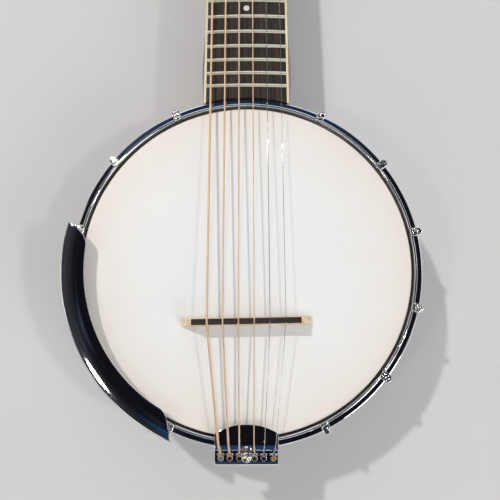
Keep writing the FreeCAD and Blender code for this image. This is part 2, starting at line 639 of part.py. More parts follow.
def nut(strings):
    """The bone nut, notched for the strings."""
    half = BOARD_HALF_NUT - 0.1
    y = nut_y() + GAP
    bone = block(-half, half, y, y + NUT_THICK - 2 * GAP, -BOARD_THICK + GAP, NUT_RISE)
    slope = prism([V(-half - 1, y - 1, NUT_RISE + 2), V(-half - 1, y + 1.5, NUT_RISE),
                   V(-half - 1, y + NUT_THICK + 1, NUT_RISE - 1.2),
                   V(-half - 1, y + NUT_THICK + 1, NUT_RISE + 2)], X, 2 * half + 2)
    bone = placed(bone.cut(slope).common(camber(NUT_RISE)), neck_place())
    for string in strings:
        bone = bone.cut(string)
    return bone


def neck_section(y, half, bulge, depth):
    """The neck's outline across its length: a flat top over a rounded back."""
    curve = []
    for turn in (15, 45, 75):
        side, down = bulge * cos(radians(turn)) ** 0.8, depth * sin(radians(turn))
        curve.append((side, -BOARD_THICK - down))
    points = [V(half, y, -BOARD_THICK)] + [V(side, y, z) for side, z in curve]
    points += [V(-side, y, z) for side, z in reversed(curve)] + [V(-half, y, -BOARD_THICK)]
    back = Part.BSplineCurve()
    back.interpolate(points)
    return Part.Wire([Part.makeLine(points[-1], points[0]), back.toShape()])


def neck_shaft():
    """The rounded shaft and the heel, as one smooth run of sections."""
    end = nut_y() + NUT_THICK + 14
    sections = [neck_section(end, BOARD_HALF_NUT, BOARD_HALF_NUT, NECK_DEPTH - 0.6),
                neck_section(nut_y() - 40, board_half(nut_y() - 40), board_half(nut_y() - 40), NECK_DEPTH - 0.2),
                neck_section(170, board_half(170), board_half(170), NECK_DEPTH + 0.8),
                neck_section(80, board_half(80), board_half(80), NECK_DEPTH + 2.2)]
    shaft = Part.makeLoft(sections, True, False)
    heel = [neck_section(80, board_half(80), board_half(80), NECK_DEPTH + 2.2),
            neck_section(58, board_half(58), board_half(58) + 0.6, NECK_DEPTH + 3.2),
            neck_section(40, board_half(40), board_half(40) + 2.2, NECK_DEPTH + 7.0),
            neck_section(27, board_half(27), 30.2, NECK_DEPTH + 15.0),
            neck_section(16, board_half(16), 30.4, NECK_DEPTH + 28.0),
            neck_section(6, board_half(6), 30.0, NECK_DEPTH + 42.0),
            neck_section(-10, board_half(-10), 29.6, NECK_DEPTH + 56.0)]
    return shaft.fuse(Part.makeLoft(heel, True, False))


def peg_place():
    """The peghead's frame, tilted back behind the nut."""
    step = Placement(V(0, nut_y() + NUT_THICK, -PEG_DROP), Rotation(X, -PEG_TILT))
    return neck_place().multiply(step)


def peg_outline():
    """Half of the peghead's edge, from the nut to its tip."""
    spline = Part.BSplineCurve()
    spline.interpolate([V(24.2, -1, 0), V(25.6, 5, 0), V(30.4, 15, 0), V(31.2, 28, 0), V(29.6, 62, 0),
                        V(30.4, 96, 0), V(33.4, 116, 0)])
    tip = Part.Arc(V(33.4, 116, 0), V(21.5, 121.5, 0), V(12.0, 128, 0)).toShape()
    crown = Part.Arc(V(12.0, 128, 0), V(6.5, 130.9, 0), V(0, PEG_LENGTH, 0)).toShape()
    return [spline.toShape(), tip, crown]


def peg_plate(thick, low):
    """The peghead's shape with a given thickness."""
    right = peg_outline()
    left = [e.mirror(V(0, 0, 0), X) for e in right]
    bottom = Part.makeLine(V(-24.2, -1, 0), V(24.2, -1, 0))
    wire = Part.Wire(Part.sortEdges(right + left + [bottom])[0])
    plate = Part.Face(wire).extrude(Z * thick)
    plate.translate(Z * low)
    return plate


def post_centres():
    """Side and place along the peghead of each tuner, for strings 1 to 6."""
    bass = [(-1, y) for y in POST_Y]
    treble = [(1, y) for y in reversed(POST_Y)]
    return bass + treble


def post_holes(radius, low, high):
    return Part.makeCompound([Part.makeCylinder(radius, high - low, V(side * POST_X, y, low))
                              for side, y in post_centres()])


def truss_pocket():
    """The recess in the peghead that gives room for the truss rod's nut."""
    return block(-5, 5, -3, 17, -9.0, 1)


def truss_channel():
    """The slot under the fingerboard in which the truss rod lies."""
    low, high = -BOARD_THICK - 8.6, -BOARD_THICK + 1
    return block(-3.2, 3.2, 20, nut_y() + NUT_THICK + 6, low, high)


def neck():
    """The mahogany neck with its heel and peghead, in one piece."""
    wood = placed(neck_shaft(), neck_place())
    peg = placed(peg_plate(PEG_THICK - OVERLAY - GAP, -PEG_THICK), peg_place())
    shelf = block(-60, 60, -60, 1.0, -40, 40)
    behind = block(-60, 60, 0.0, 60, -OVERLAY - GAP, 60)
    wood = wood.cut(placed(behind, peg_place()))
    wood = wood.fuse(peg.cut(placed(shelf, peg_place()))).removeSplitter()
    top = block(-60, 60, -60, nut_y() + NUT_THICK, -BOARD_THICK - GAP, 20)
    wood = wood.cut(placed(top, neck_place()))
    wood = wood.cut(placed(truss_channel(), neck_place()))
    wood = wood.cut(placed(truss_pocket(), peg_place()))
    wood = wood.cut(placed(post_holes(BUSHING_R + GAP, -PEG_THICK - 1, 1), peg_place()))
    for x, y in truss_screw_places():
        wood = wood.cut(placed(Part.makeCylinder(0.9, 12, V(x, y, -8)), peg_place()))
    wood = wood.cut(pot_clearance()).cut(block(-60, 60, 0, 300, -60, HEEL_LOW))
    for z, depth in STUD_DEPTHS.items():
        wood = wood.cut(cylinder(STUD_R + GAP, V(0, RIM_INNER_R, z), V(0, RIM_R + depth + 1, z)))
    for hole in tuner_pieces(screw_hole()):
        wood = wood.cut(hole)
    return wood


BUSHING_R = 4.6


def peghead_overlay():
    """The black facing of the peghead."""
    plate = peg_plate(OVERLAY, -OVERLAY)
    plate = plate.cut(block(-60, 60, -60, GAP, -10, 10))
    plate = plate.cut(post_holes(BUSHING_R + GAP, -5, 5)).cut(truss_pocket())
    for x, y in truss_screw_places():
        plate = plate.cut(Part.makeCylinder(0.9, 12, V(x, y, -8)))
    under_nut = block(-60, 60, -60, nut_y() + NUT_THICK + GAP, -40, 20)
    return placed(plate, peg_place()).cut(placed(under_nut, neck_place()))


def truss_screw_places():
    return [(0, 21.5), (-7.4, 3.6), (7.4, 3.6)]


def truss_cover():
    """The bell-shaped plate over the truss rod's nut."""
    edges = [Part.makeLine(V(-10.5, 0.4, GAP), V(10.5, 0.4, GAP)),
             Part.Arc(V(10.5, 0.4, GAP), V(9.0, 12.0, GAP), V(4.4, 20.5, GAP)).toShape(),
             Part.Arc(V(4.4, 20.5, GAP), V(0, 25.5, GAP), V(-4.4, 20.5, GAP)).toShape(),
             Part.Arc(V(-4.4, 20.5, GAP), V(-9.0, 12.0, GAP), V(-10.5, 0.4, GAP)).toShape()]
    plate = Part.Face(Part.Wire(edges)).extrude(Z * 1.5)
    for x, y in truss_screw_places():
        plate = plate.cut(Part.makeCylinder(1.0, 5, V(x, y, -1)))
    return placed(plate, peg_place())


def wood_screw(length):
    """A small dome-headed screw with a cross slot, its head's underside at z = 0."""
    cap = Part.makeSphere(2.4, V(0, 0, -1.1)).common(block(-3, 3, -3, 3, 0, 3))
    shank = Part.makeCylinder(0.85, length + 0.1, V(0, 0, -length))
    cross = block(-1.1, 1.1, -0.25, 0.25, 0.7, 3).fuse(block(-0.25, 0.25, -1.1, 1.1, 0.7, 3))
    return cap.fuse(shank).removeSplitter().cut(cross)


def truss_rod_place():
    return Placement(V(0, 0, -BOARD_THICK - 4.2), Rotation())


def truss_rod():
    """The adjustable steel rod under the fingerboard."""
    start = V(0, 22, -BOARD_THICK - 4.2)
    end = V(0, nut_y() + NUT_THICK + 5.0, -BOARD_THICK - 4.2)
    rod = cylinder(2.5, start, end)
    anchor = block(-3.1, 3.1, 22, 34, -BOARD_THICK - 8.4, -BOARD_THICK - 0.1)
    return placed(rod.fuse(anchor).removeSplitter(), neck_place())


def truss_nut():
    """The hexagonal nut on the rod's end, reached from the peghead."""
    y = nut_y() + NUT_THICK + 5.2
    bar = hexagon(5.6, V(0, y, -BOARD_THICK - 4.2), V(0, y + 8, -BOARD_THICK - 4.2))
    return placed(bar.cut(cylinder(1.4, V(0, y + 3, -BOARD_THICK - 4.2), V(0, y + 9, -BOARD_THICK - 4.2))),
                  neck_place())


# ---------------------------------------------------------------- tuners

def tuner_place(side, y):
    """The frame of one tuner. Those on the bass side are mirrored before they are placed."""
    return peg_place().multiply(Placement(V(side * POST_X, y, -PEG_THICK), Rotation()))


def tuner_pieces(shape):
    """One copy of a tuner's piece for each string."""
    mirrored = shape.mirror(V(0, 0, 0), X)
    return [placed(mirrored if side < 0 else shape, tuner_place(side, y)) for side, y in post_centres()]


def screw_hole():
    return Part.makeCylinder(0.9, 8, V(-6.2, -9.4, -1))


def housing_outline(z0, z1):
    body = block(-8, 8, -6.6, 10.4, z0, z1)
    body = filleted(body, 3.0, lambda e: e.BoundBox.ZMax - e.BoundBox.ZMin > 0.9 * (z1 - z0))
    ear = Part.makeCylinder(2.8, z1 - z0, V(-6.2, -9.4, z0)).fuse(block(-9, -3.4, -9.4, -4, z0, z1))
    return body, ear


def tuner_housing():
    """The cast cup behind the peghead in which the worm and gear run."""
    body, _ = housing_outline(-HOUSING_DEPTH, -BASE_PLATE - GAP)
    body = filleted(body, 1.2, lambda e: e.BoundBox.ZMax < -HOUSING_DEPTH + 0.01)
    boss = cylinder(3.1, V(7.5, WORM_Y, WORM_Z), V(10.4, WORM_Y, WORM_Z))
    body = body.fuse(boss).removeSplitter()
    gear_room = Part.makeCylinder(GEAR_R + 0.75, 8, V(0, 0, -7.6))
    worm_room = cylinder(WORM_R + 0.75, V(-5.4, WORM_Y, WORM_Z), V(5.4, WORM_Y, WORM_Z))
    opening = block(-5.4, 5.4, WORM_Y - WORM_R - 0.75, WORM_Y + WORM_R + 0.75, WORM_Z, 0)
    journals = cylinder(1.75 + 0.04, V(-6.9, WORM_Y, WORM_Z), V(12, WORM_Y, WORM_Z))
    pivot = Part.makeCylinder(1.5 + 0.04, 3, V(0, 0, -8.3))
    for room in (gear_room, worm_room, opening, journals, pivot):
        body = body.cut(room)
    return body


def tuner_base_plate():
    """The plate between the housing and the peghead, with an ear for its screw."""
    body, ear = housing_outline(-BASE_PLATE, -GAP)
    plate = body.fuse(ear).removeSplitter()
    plate = plate.cut(Part.makeCylinder(POST_R + 0.1, 4, V(0, 0, -3)))
    return plate.cut(Part.makeCylinder(1.0, 4, V(-6.2, -9.4, -3)))


def tuner_bushing():
    """The lipped sleeve in which the post turns, pressed in from the front."""
    sleeve = Part.makeCylinder(BUSHING_R, PEG_THICK, V(0, 0, GAP))
    lip = Part.makeCylinder(6.0, 1.4, V(0, 0, PEG_THICK + GAP))
    lip = filleted(lip, 0.8, lambda e: e.BoundBox.ZMin > PEG_THICK + 1.3)
    body = sleeve.fuse(lip).removeSplitter()
    return body.cut(Part.makeCylinder(POST_R + 0.06, 40, V(0, 0, -5)))


def tuner_screw():
    """The small screw through the base plate's ear, driven from the back."""
    screw = wood_screw(6.5)
    screw.rotate(V(0, 0, 0), X, 180)
    screw.translate(V(-6.2, -9.4, -BASE_PLATE - GAP))
    return screw


def tuner_post():
    """The string post: waisted above the face, drilled for the string, on a slim lower pivot."""
    top = PEG_THICK + POST_TOP
    post = Part.makeCylinder(POST_R, top + BASE_PLATE, V(0, 0, -BASE_PLATE - 0.2))
    post = filleted(post, 0.7, lambda e: e.BoundBox.ZMin > top - 0.3)
    waist = Part.makeTorus(POST_R + 3.2, 3.6, V(0, 0, PEG_THICK + 7.2))
    drill = cylinder(0.9, V(-6, 0, PEG_THICK + 8.6), V(6, 0, PEG_THICK + 8.6))
    spindle = Part.makeCylinder(2.0, 6.4, V(0, 0, -7.5)).fuse(Part.makeCylinder(1.5, 1.2, V(0, 0, -8.2)))
    return post.cut(waist).cut(drill).fuse(spindle).removeSplitter()


def tuner_gear():
    """The worm wheel. Its teeth lean by the worm's lead angle."""
    lead = atan2(MODULE, 2 * WORM_R)
    root, tip = GEAR_R - 0.62, GEAR_R + 0.42
    wheel = Part.makeCylinder(root, GEAR_THICK, V(0, 0, WORM_Z - GEAR_THICK / 2))
    half_root, half_tip = 0.56, 0.17
    reach = GEAR_THICK / 2 + 1
    tooth = prism([V(-half_root - 0.05, root - 0.15, -reach), V(half_root + 0.05, root - 0.15, -reach),
                   V(half_tip, tip, -reach), V(-half_tip, tip, -reach)], Z, 2 * reach)
    tooth.rotate(V(0, 0, 0), Y, -degrees(lead))
    tooth.translate(V(0, 0, WORM_Z))
    slab = Part.makeCylinder(GEAR_R + 2, GEAR_THICK, V(0, 0, WORM_Z - GEAR_THICK / 2))
    teeth = []
    for index in range(GEAR_TEETH):
        one = tooth.copy()
        one.rotate(V(0, 0, 0), Z, 360.0 * (index + 0.5) / GEAR_TEETH)
        teeth.append(one.common(slab))
    wheel = wheel.fuse(teeth)
    return wheel.cut(Part.makeCylinder(2.0 + GAP, 20, V(0, 0, -15)))


def worm_thread():
    """The worm's right-handed thread, about the X axis."""
    pitch = pi * MODULE
    root, tip = WORM_R - 0.75, WORM_R + 0.42
    half_root, half_tip = 0.60, 0.17
    turns = 5
    helix = Part.makeHelix(pitch, pitch * turns, WORM_R)
    profile = Part.makePolygon([V(root, 0, -half_root), V(tip, 0, -half_tip), V(tip, 0, half_tip),
                                V(root, 0, half_root), V(root, 0, -half_root)])
    thread = Part.Wire(helix.Edges).makePipeShell([Part.Wire(profile.Edges)], True, True)
    thread.translate(V(0, 0, -pitch * turns / 2))
    thread.rotate(V(0, 0, 0), Z, 90)
    thread.rotate(V(0, 0, 0), Y, 90)
    return thread


def worm_shaft():
    """The worm, its journals and the stem that carries the button."""
    core = cylinder(WORM_R - 0.6, V(-5.2, 0, 0), V(5.2, 0, 0))
    journal = cylinder(1.75, V(-6.8, 0, 0), V(11.0, 0, 0))
    stem = cylinder(2.4, V(10.6, 0, 0), V(BUTTON_X + 1.0, 0, 0))
    ends = block(-4.6, 4.6, -4, 4, -4, 4)
    shaft = core.fuse(worm_thread().common(ends)).fuse(journal).fuse(stem)
    shaft.translate(V(0, WORM_Y, WORM_Z))
    return shaft


def tuner_button():
    """The oval metal button, flat enough for finger and thumb."""
    oval = Part.makeSphere(1.0)
    stretch = FreeCAD.Matrix()
    stretch.scale(6.6, 7.8, 3.5)
    oval = oval.transformGeometry(stretch)
    oval.translate(V(BUTTON_X + 6.6, WORM_Y, WORM_Z))
    collar = cylinder(3.2, V(BUTTON_X, WORM_Y, WORM_Z), V(BUTTON_X + 3.0, WORM_Y, WORM_Z))
    bore = cylinder(2.4 + GAP, V(BUTTON_X - 1, WORM_Y, WORM_Z), V(BUTTON_X + 1.1, WORM_Y, WORM_Z))
    return oval.fuse(collar).removeSplitter().cut(bore)


def tuner_key():
    return Part.makeCompound([worm_shaft(), tuner_button()])


# ---------------------------------------------------------------- strings

def string_points(index):
    """The corners of a string's line: ball end, step, bridge, nut and post."""
    r = STRING_R[index]
    ball = V(BALL_X[index], -FORK_HIGH_Y + 0.15, FLOOR_Z + BALL_HEIGHT / 2)
    step = V(STEP_X[index], -STEP_Y, APRON_Z + r + 2 * GAP)
    bridge_x = BRIDGE_X[index]
    over_bridge = V(bridge_x, BRIDGE_Y + bridge_x * tan(radians(BRIDGE_TWIST)), BRIDGE_STRING_Z)
    over_nut = neck_place().multVec(V(NUT_X[index], nut_y() + 0.9, 1.35 + r * 0.6 - camber_drop(NUT_X[index])))
    side, y = post_centres()[index]
    at_post = peg_place().multVec(V(side * (POST_X - POST_R - r - 0.05), y, WINDING_HEIGHT))
    return [ball, step, over_bridge, over_nut, at_post]


def rounded_path(points, reach):
    """Straight runs joined by arcs that start a little way before each corner."""
    edges = []
    start = points[0]
    for before, corner, after in zip(points, points[1:], points[2:]):
        back = (before - corner).normalize()
        ahead = (after - corner).normalize()
        a, b = corner + back * reach, corner + ahead * reach
        half_turn = back.getAngle(ahead) / 2
        toward = (back + ahead).normalize()
        radius = reach * tan(half_turn)
        centre = corner + toward * (reach / cos(half_turn))
        edges.append(Part.makeLine(start, a))
        edges.append(Part.Arc(a, centre - toward * radius, b).toShape())
        start = b
    edges.append(Part.makeLine(start, points[-1]))
    return Part.Wire(edges)


def string_shape(index, extra=0.0):
    """A string as a round wire, or the room that it needs in a notch."""
    points = string_points(index)
    path = rounded_path(points, 1.0)
    circle = Part.makeCircle(STRING_R[index] + extra, points[0], points[1] - points[0])
    return path.makePipeShell([Part.Wire(circle)], True, False)


# ---------------------------------------------------------------- assembly

def build_nodes():
    """Every node of the instrument by name, about the pot's axis."""
    rooms = [string_shape(i, 0.03) for i in range(6)]
    plate = armrest_plate()
    nodes = {
        "rim": rim(),
        "tone_ring": tone_ring(),
        "head": head(),
        "head_collar": head_collar(),
        "flesh_hoop": flesh_hoop(),
        "tension_hoop": tension_hoop(),
        "bracket_hooks": on_angles(bracket_hook(), HOOK_ANGLES),
        "bracket_nuts": Part.makeCompound([placed(bracket_nut(nut_top(a)), radial(a)) for a in HOOK_ANGLES]),
        "bracket_shoes": on_angles(bracket_shoe(), HOOK_ANGLES),
        "shoe_screws": on_angles(shoe_screw(), HOOK_ANGLES),
        "curved_washers": curved_washers(),
        "coordinator_rod": coordinator_rod(),
        "rod_nuts": rod_nuts(),
        "neck_studs": neck_studs(),
        "end_bolt": end_bolt(),
        "armrest_plate": plate,
        "armrest_brackets": armrest_brackets(plate),
        "tailpiece_plate": tailpiece_plate(rooms),
        "tailpiece_hanger": tailpiece_hanger(),
        "tension_screw": tension_screw(),
        "ball_ends": ball_ends(),
        "bridge": bridge(),
        "bridge_cap": bridge_cap(rooms),
        "fretboard": fretboard(),
        "fretboard_binding": fretboard_binding(),
        "frets": frets(),
        "position_dots": position_dots(),
        "nut": nut(rooms),
        "neck": neck(),
        "peghead_overlay": peghead_overlay(),
        "truss_rod": truss_rod(),
        "truss_rod_nut": truss_nut(),
        "truss_rod_cover": truss_cover(),
        "tuner_housings": Part.makeCompound(tuner_pieces(tuner_housing()) + tuner_pieces(tuner_base_plate())),
        "tuner_bushings": Part.makeCompound(tuner_pieces(tuner_bushing())),
    }
    cover_screws = [placed(wood_screw(5.0), peg_place().multiply(Placement(V(x, y, 1.5 + 2 * GAP), Rotation())))
                    for x, y in truss_screw_places()]
    nodes["peghead_screws"] = Part.makeCompound(cover_screws + tuner_pieces(tuner_screw()))
    for number, shape in enumerate(tuner_pieces(tuner_post()), 1):
        nodes["tuner_%d_post" % number] = shape
    for number, shape in enumerate(tuner_pieces(tuner_gear()), 1):
        nodes["tuner_%d_gear" % number] = shape
    for number, shape in enumerate(tuner_pieces(tuner_key()), 1):
        nodes["tuner_%d_key" % number] = shape
    for index in range(6):
        nodes["string_%d" % (index + 1)] = string_shape(index)
    return nodes


def bottom_centre(nodes):
    """The bottom centre of the box round every node."""
    box = FreeCAD.BoundBox()
    for shape in nodes.values():
        corners, _ = shape.tessellate(0.05)
        for corner in corners:
            box.add(corner)
    return V((box.XMin + box.XMax) / 2, (box.YMin + box.YMax) / 2, box.ZMin)


def main():
    os.makedirs("parts", exist_ok=True)
    nodes = build_nodes()
    origin = bottom_centre(nodes)
    print("pot axis at", [round(v, 4) for v in (origin * -1)])
    for name, shape in nodes.items():
        moved = placed(shape, Placement(origin * -1, Rotation()))
        solids = moved.Solids
        if not moved.isValid() or not solids or min(s.Volume for s in solids) <= 0:
            print("PROBLEM", name, moved.isValid(), len(solids))
        whole = solids[0] if len(solids) == 1 else Part.makeCompound(solids)
        whole.exportStep("parts/%s.step" % name)
        print("%-20s %3d solids %10.1f mm3" % (name, len(solids), whole.Volume))


main()
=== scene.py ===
import json
from math import cos, pi, radians, sin, sqrt

import bpy
import bmesh
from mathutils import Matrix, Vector


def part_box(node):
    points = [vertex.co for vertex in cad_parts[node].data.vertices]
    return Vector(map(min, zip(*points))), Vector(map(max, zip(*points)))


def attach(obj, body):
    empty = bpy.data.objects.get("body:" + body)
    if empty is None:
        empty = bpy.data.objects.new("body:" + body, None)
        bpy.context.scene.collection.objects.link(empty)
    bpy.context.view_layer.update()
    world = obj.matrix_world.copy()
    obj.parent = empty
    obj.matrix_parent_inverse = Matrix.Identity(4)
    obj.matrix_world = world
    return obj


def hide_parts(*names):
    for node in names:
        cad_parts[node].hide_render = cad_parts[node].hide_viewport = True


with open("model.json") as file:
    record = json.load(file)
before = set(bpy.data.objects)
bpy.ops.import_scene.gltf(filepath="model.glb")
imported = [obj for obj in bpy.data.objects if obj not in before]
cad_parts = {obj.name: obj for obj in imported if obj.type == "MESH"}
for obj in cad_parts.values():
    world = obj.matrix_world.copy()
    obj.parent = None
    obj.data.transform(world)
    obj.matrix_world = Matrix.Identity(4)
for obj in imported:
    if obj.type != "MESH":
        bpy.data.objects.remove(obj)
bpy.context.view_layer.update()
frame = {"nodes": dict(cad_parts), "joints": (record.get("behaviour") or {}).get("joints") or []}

MM = 0.001
# The body that every fixed piece rides on
ROOT = "banjo"
STRINGS = range(1, 7)
# Strings up to this one are wound, and the others are plain steel
LAST_WOUND = 4
# The bridge stands a little askew
BRIDGE_TURN = radians(1.1)

# The pot's axis, from the rim. +Y runs along the neck, and the head faces +Z.
rim_low, rim_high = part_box("rim")
POT_X, POT_Y = (rim_low.x + rim_high.x) / 2, (rim_low.y + rim_high.y) / 2
HEAD_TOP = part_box("head")[1].z
HEAD_R = (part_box("head")[1].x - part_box("head")[0].x) / 2


def pot(x, y, z):
    """A point given in millimetres from the pot's axis and the back of the rim."""
    return Vector((POT_X + x * MM, POT_Y + y * MM, z * MM))


# ---------------------------------------------------------------- camera, floor and light

def make_camera():
    """The camera looks almost straight down on the head, from over its tail half."""
    data = bpy.data.cameras.new("camera")
    data.sensor_width = 36.0
    data.lens = 40.32
    data.clip_start, data.clip_end = 0.01, 50.0
    camera = bpy.data.objects.new("camera", data)
    bpy.context.scene.collection.objects.link(camera)
    camera.location = pot(3.68, -37.4, 403.5)
    camera.rotation_euler = (radians(7.94), radians(0.27), radians(-0.07))
    bpy.context.scene.camera = camera


def aim(obj, target):
    obj.rotation_euler = (target - obj.location).to_track_quat("-Z", "Y").to_euler()


def area_light(name, place, target, size, power, colour):
    data = bpy.data.lights.new(name, "AREA")
    data.shape = "DISK"
    data.size = size
    data.energy = power
    data.color = colour
    lamp = bpy.data.objects.new(name, data)
    bpy.context.scene.collection.objects.link(lamp)
    lamp.location = place
    aim(lamp, target)
    return lamp


def patch(paint, *edges):
    """Where every value has passed from its first number to its second, with soft edges between them."""
    share = None
    for value, outside, inside in edges:
        step = paint.span(value, outside, inside, 0.0, 1.0)
        share = step if share is None else paint.math("MULTIPLY", share, step)
    return share


def room_shade(paint, where, x, z):
    """Pale near the floor and dark overhead, with faint clouds at the upper left, darker to the left."""
    shade = paint.ramp(z, [(0.0, (1.05, 1.04, 1.02)), (0.22, (0.88, 0.89, 0.90)), (0.42, (0.17, 0.18, 0.21)),
                           (0.62, (0.022, 0.026, 0.036)), (1.0, (0.006, 0.006, 0.008))])
    clouds = paint.span(paint.noise(where, 5.0, detail=3.0, roughness=0.55), 0.50, 0.66, 0.0, 1.0)
    upper_left = patch(paint, (z, 0.70, 0.90), (x, -0.10, -0.22))
    shade = paint.mix(paint.math("MULTIPLY", clouds, upper_left), shade, (0.050, 0.060, 0.105))
    return paint.mix(paint.span(x, -0.25, -0.55, 0.0, 0.75), shade, (0.05, 0.05, 0.055))


def make_world():
    """A room seen in the plating: low bright panes, a window beyond the peghead and two blue walls."""
    world = bpy.data.worlds.new("room")
    bpy.context.scene.world = world
    world.use_nodes = True
    paint = Paint(world, "ShaderNodeBackground", "ShaderNodeOutputWorld")
    where = paint.add("ShaderNodeTexCoord").outputs["Generated"]
    x, y, z = paint.parts(where)
    aside = paint.math("ABSOLUTE", x)
    spots = paint.span(paint.noise(where, 2.6, detail=1.5, roughness=0.4), 0.56, 0.60, 0.0, 1.0)
    panes = paint.math("MULTIPLY", spots, paint.span(z, 0.72, 0.55, 0.0, 1.0))
    window = patch(paint, (y, 0.56, 0.62), (z, 0.40, 0.46), (aside, 0.42, 0.34))
    wall = patch(paint, (y, -0.22, -0.30), (z, 0.975, 0.955), (z, 0.35, 0.50), (aside, 0.29, 0.23))
    above = patch(paint, (y, 0.27, 0.32), (y, 0.52, 0.46), (aside, 0.26, 0.17))
    faint = paint.math("MULTIPLY", above, paint.span(z, 0.80, 0.90, 0.0, 0.45))
    lit = paint.mix(panes, room_shade(paint, where, x, z), (1.6, 1.55, 1.5))
    lit = paint.mix(window, lit, (1.10, 1.16, 1.32))
    paint.set("Color", paint.mix(paint.math("MAXIMUM", wall, faint), lit, (0.016, 0.056, 0.130)))
    paint.set("Strength", 1.0)


def set_ramp(ramp, stops):
    """Fill a colour ramp with (position, colour) pairs."""
    elements = ramp.color_ramp.elements
    while len(elements) > 1:
        elements.remove(elements[-1])
    elements[0].position = stops[0][0]
    elements[0].color = (*stops[0][1], 1.0)
    for position, colour in stops[1:]:
        element = elements.new(position)
        element.color = (*colour, 1.0)


def make_floor():
    """A plain pale floor just under the back of the rim."""
    bpy.ops.mesh.primitive_plane_add(size=30.0, location=(0, 0, -0.0004))
    floor = bpy.context.object
    floor.name = "floor"
    material = bpy.data.materials.new("floor_paper")
    material.use_nodes = True
    paint = Paint(material)
    coord = paint.add("ShaderNodeTexCoord").outputs["Object"]
    fleck = paint.noise(coord, 900.0, detail=3.0)
    paint.colour(paint.ramp(fleck, [(0.3, (0.60, 0.595, 0.585)), (0.7, (0.64, 0.635, 0.625))]))
    paint.set("Roughness", 0.9)
    floor.data.materials.append(material)


def make_lights():
    """A small key light from the upper left, weaker lights round it and a broad soft sky."""
    centre = pot(0, 0, 60)
    armrest = pot(-87, -65, 72)
    cool = (0.93, 0.96, 1.0)
    area_light("key", centre + Vector((-0.90, 0.94, 1.78)), centre, 0.10, 20.5, (1.0, 0.97, 0.93))
    area_light("second", centre + Vector((1.25, -0.35, 1.85)), centre, 0.14, 7.0, (1.0, 0.97, 0.94))
    area_light("glint", armrest + Vector((-0.82, -0.41, 1.49)), centre, 0.22, 3.0, (1.0, 0.96, 0.90))
    area_light("fill", centre + Vector((1.6, -1.3, 1.5)), centre, 1.1, 12.0, cool)
    sky = area_light("sky", centre + Vector((0.45, -0.10, 2.5)), centre, 3.2, 16.5, cool)
    sky.visible_glossy = False


# ---------------------------------------------------------------- material tools

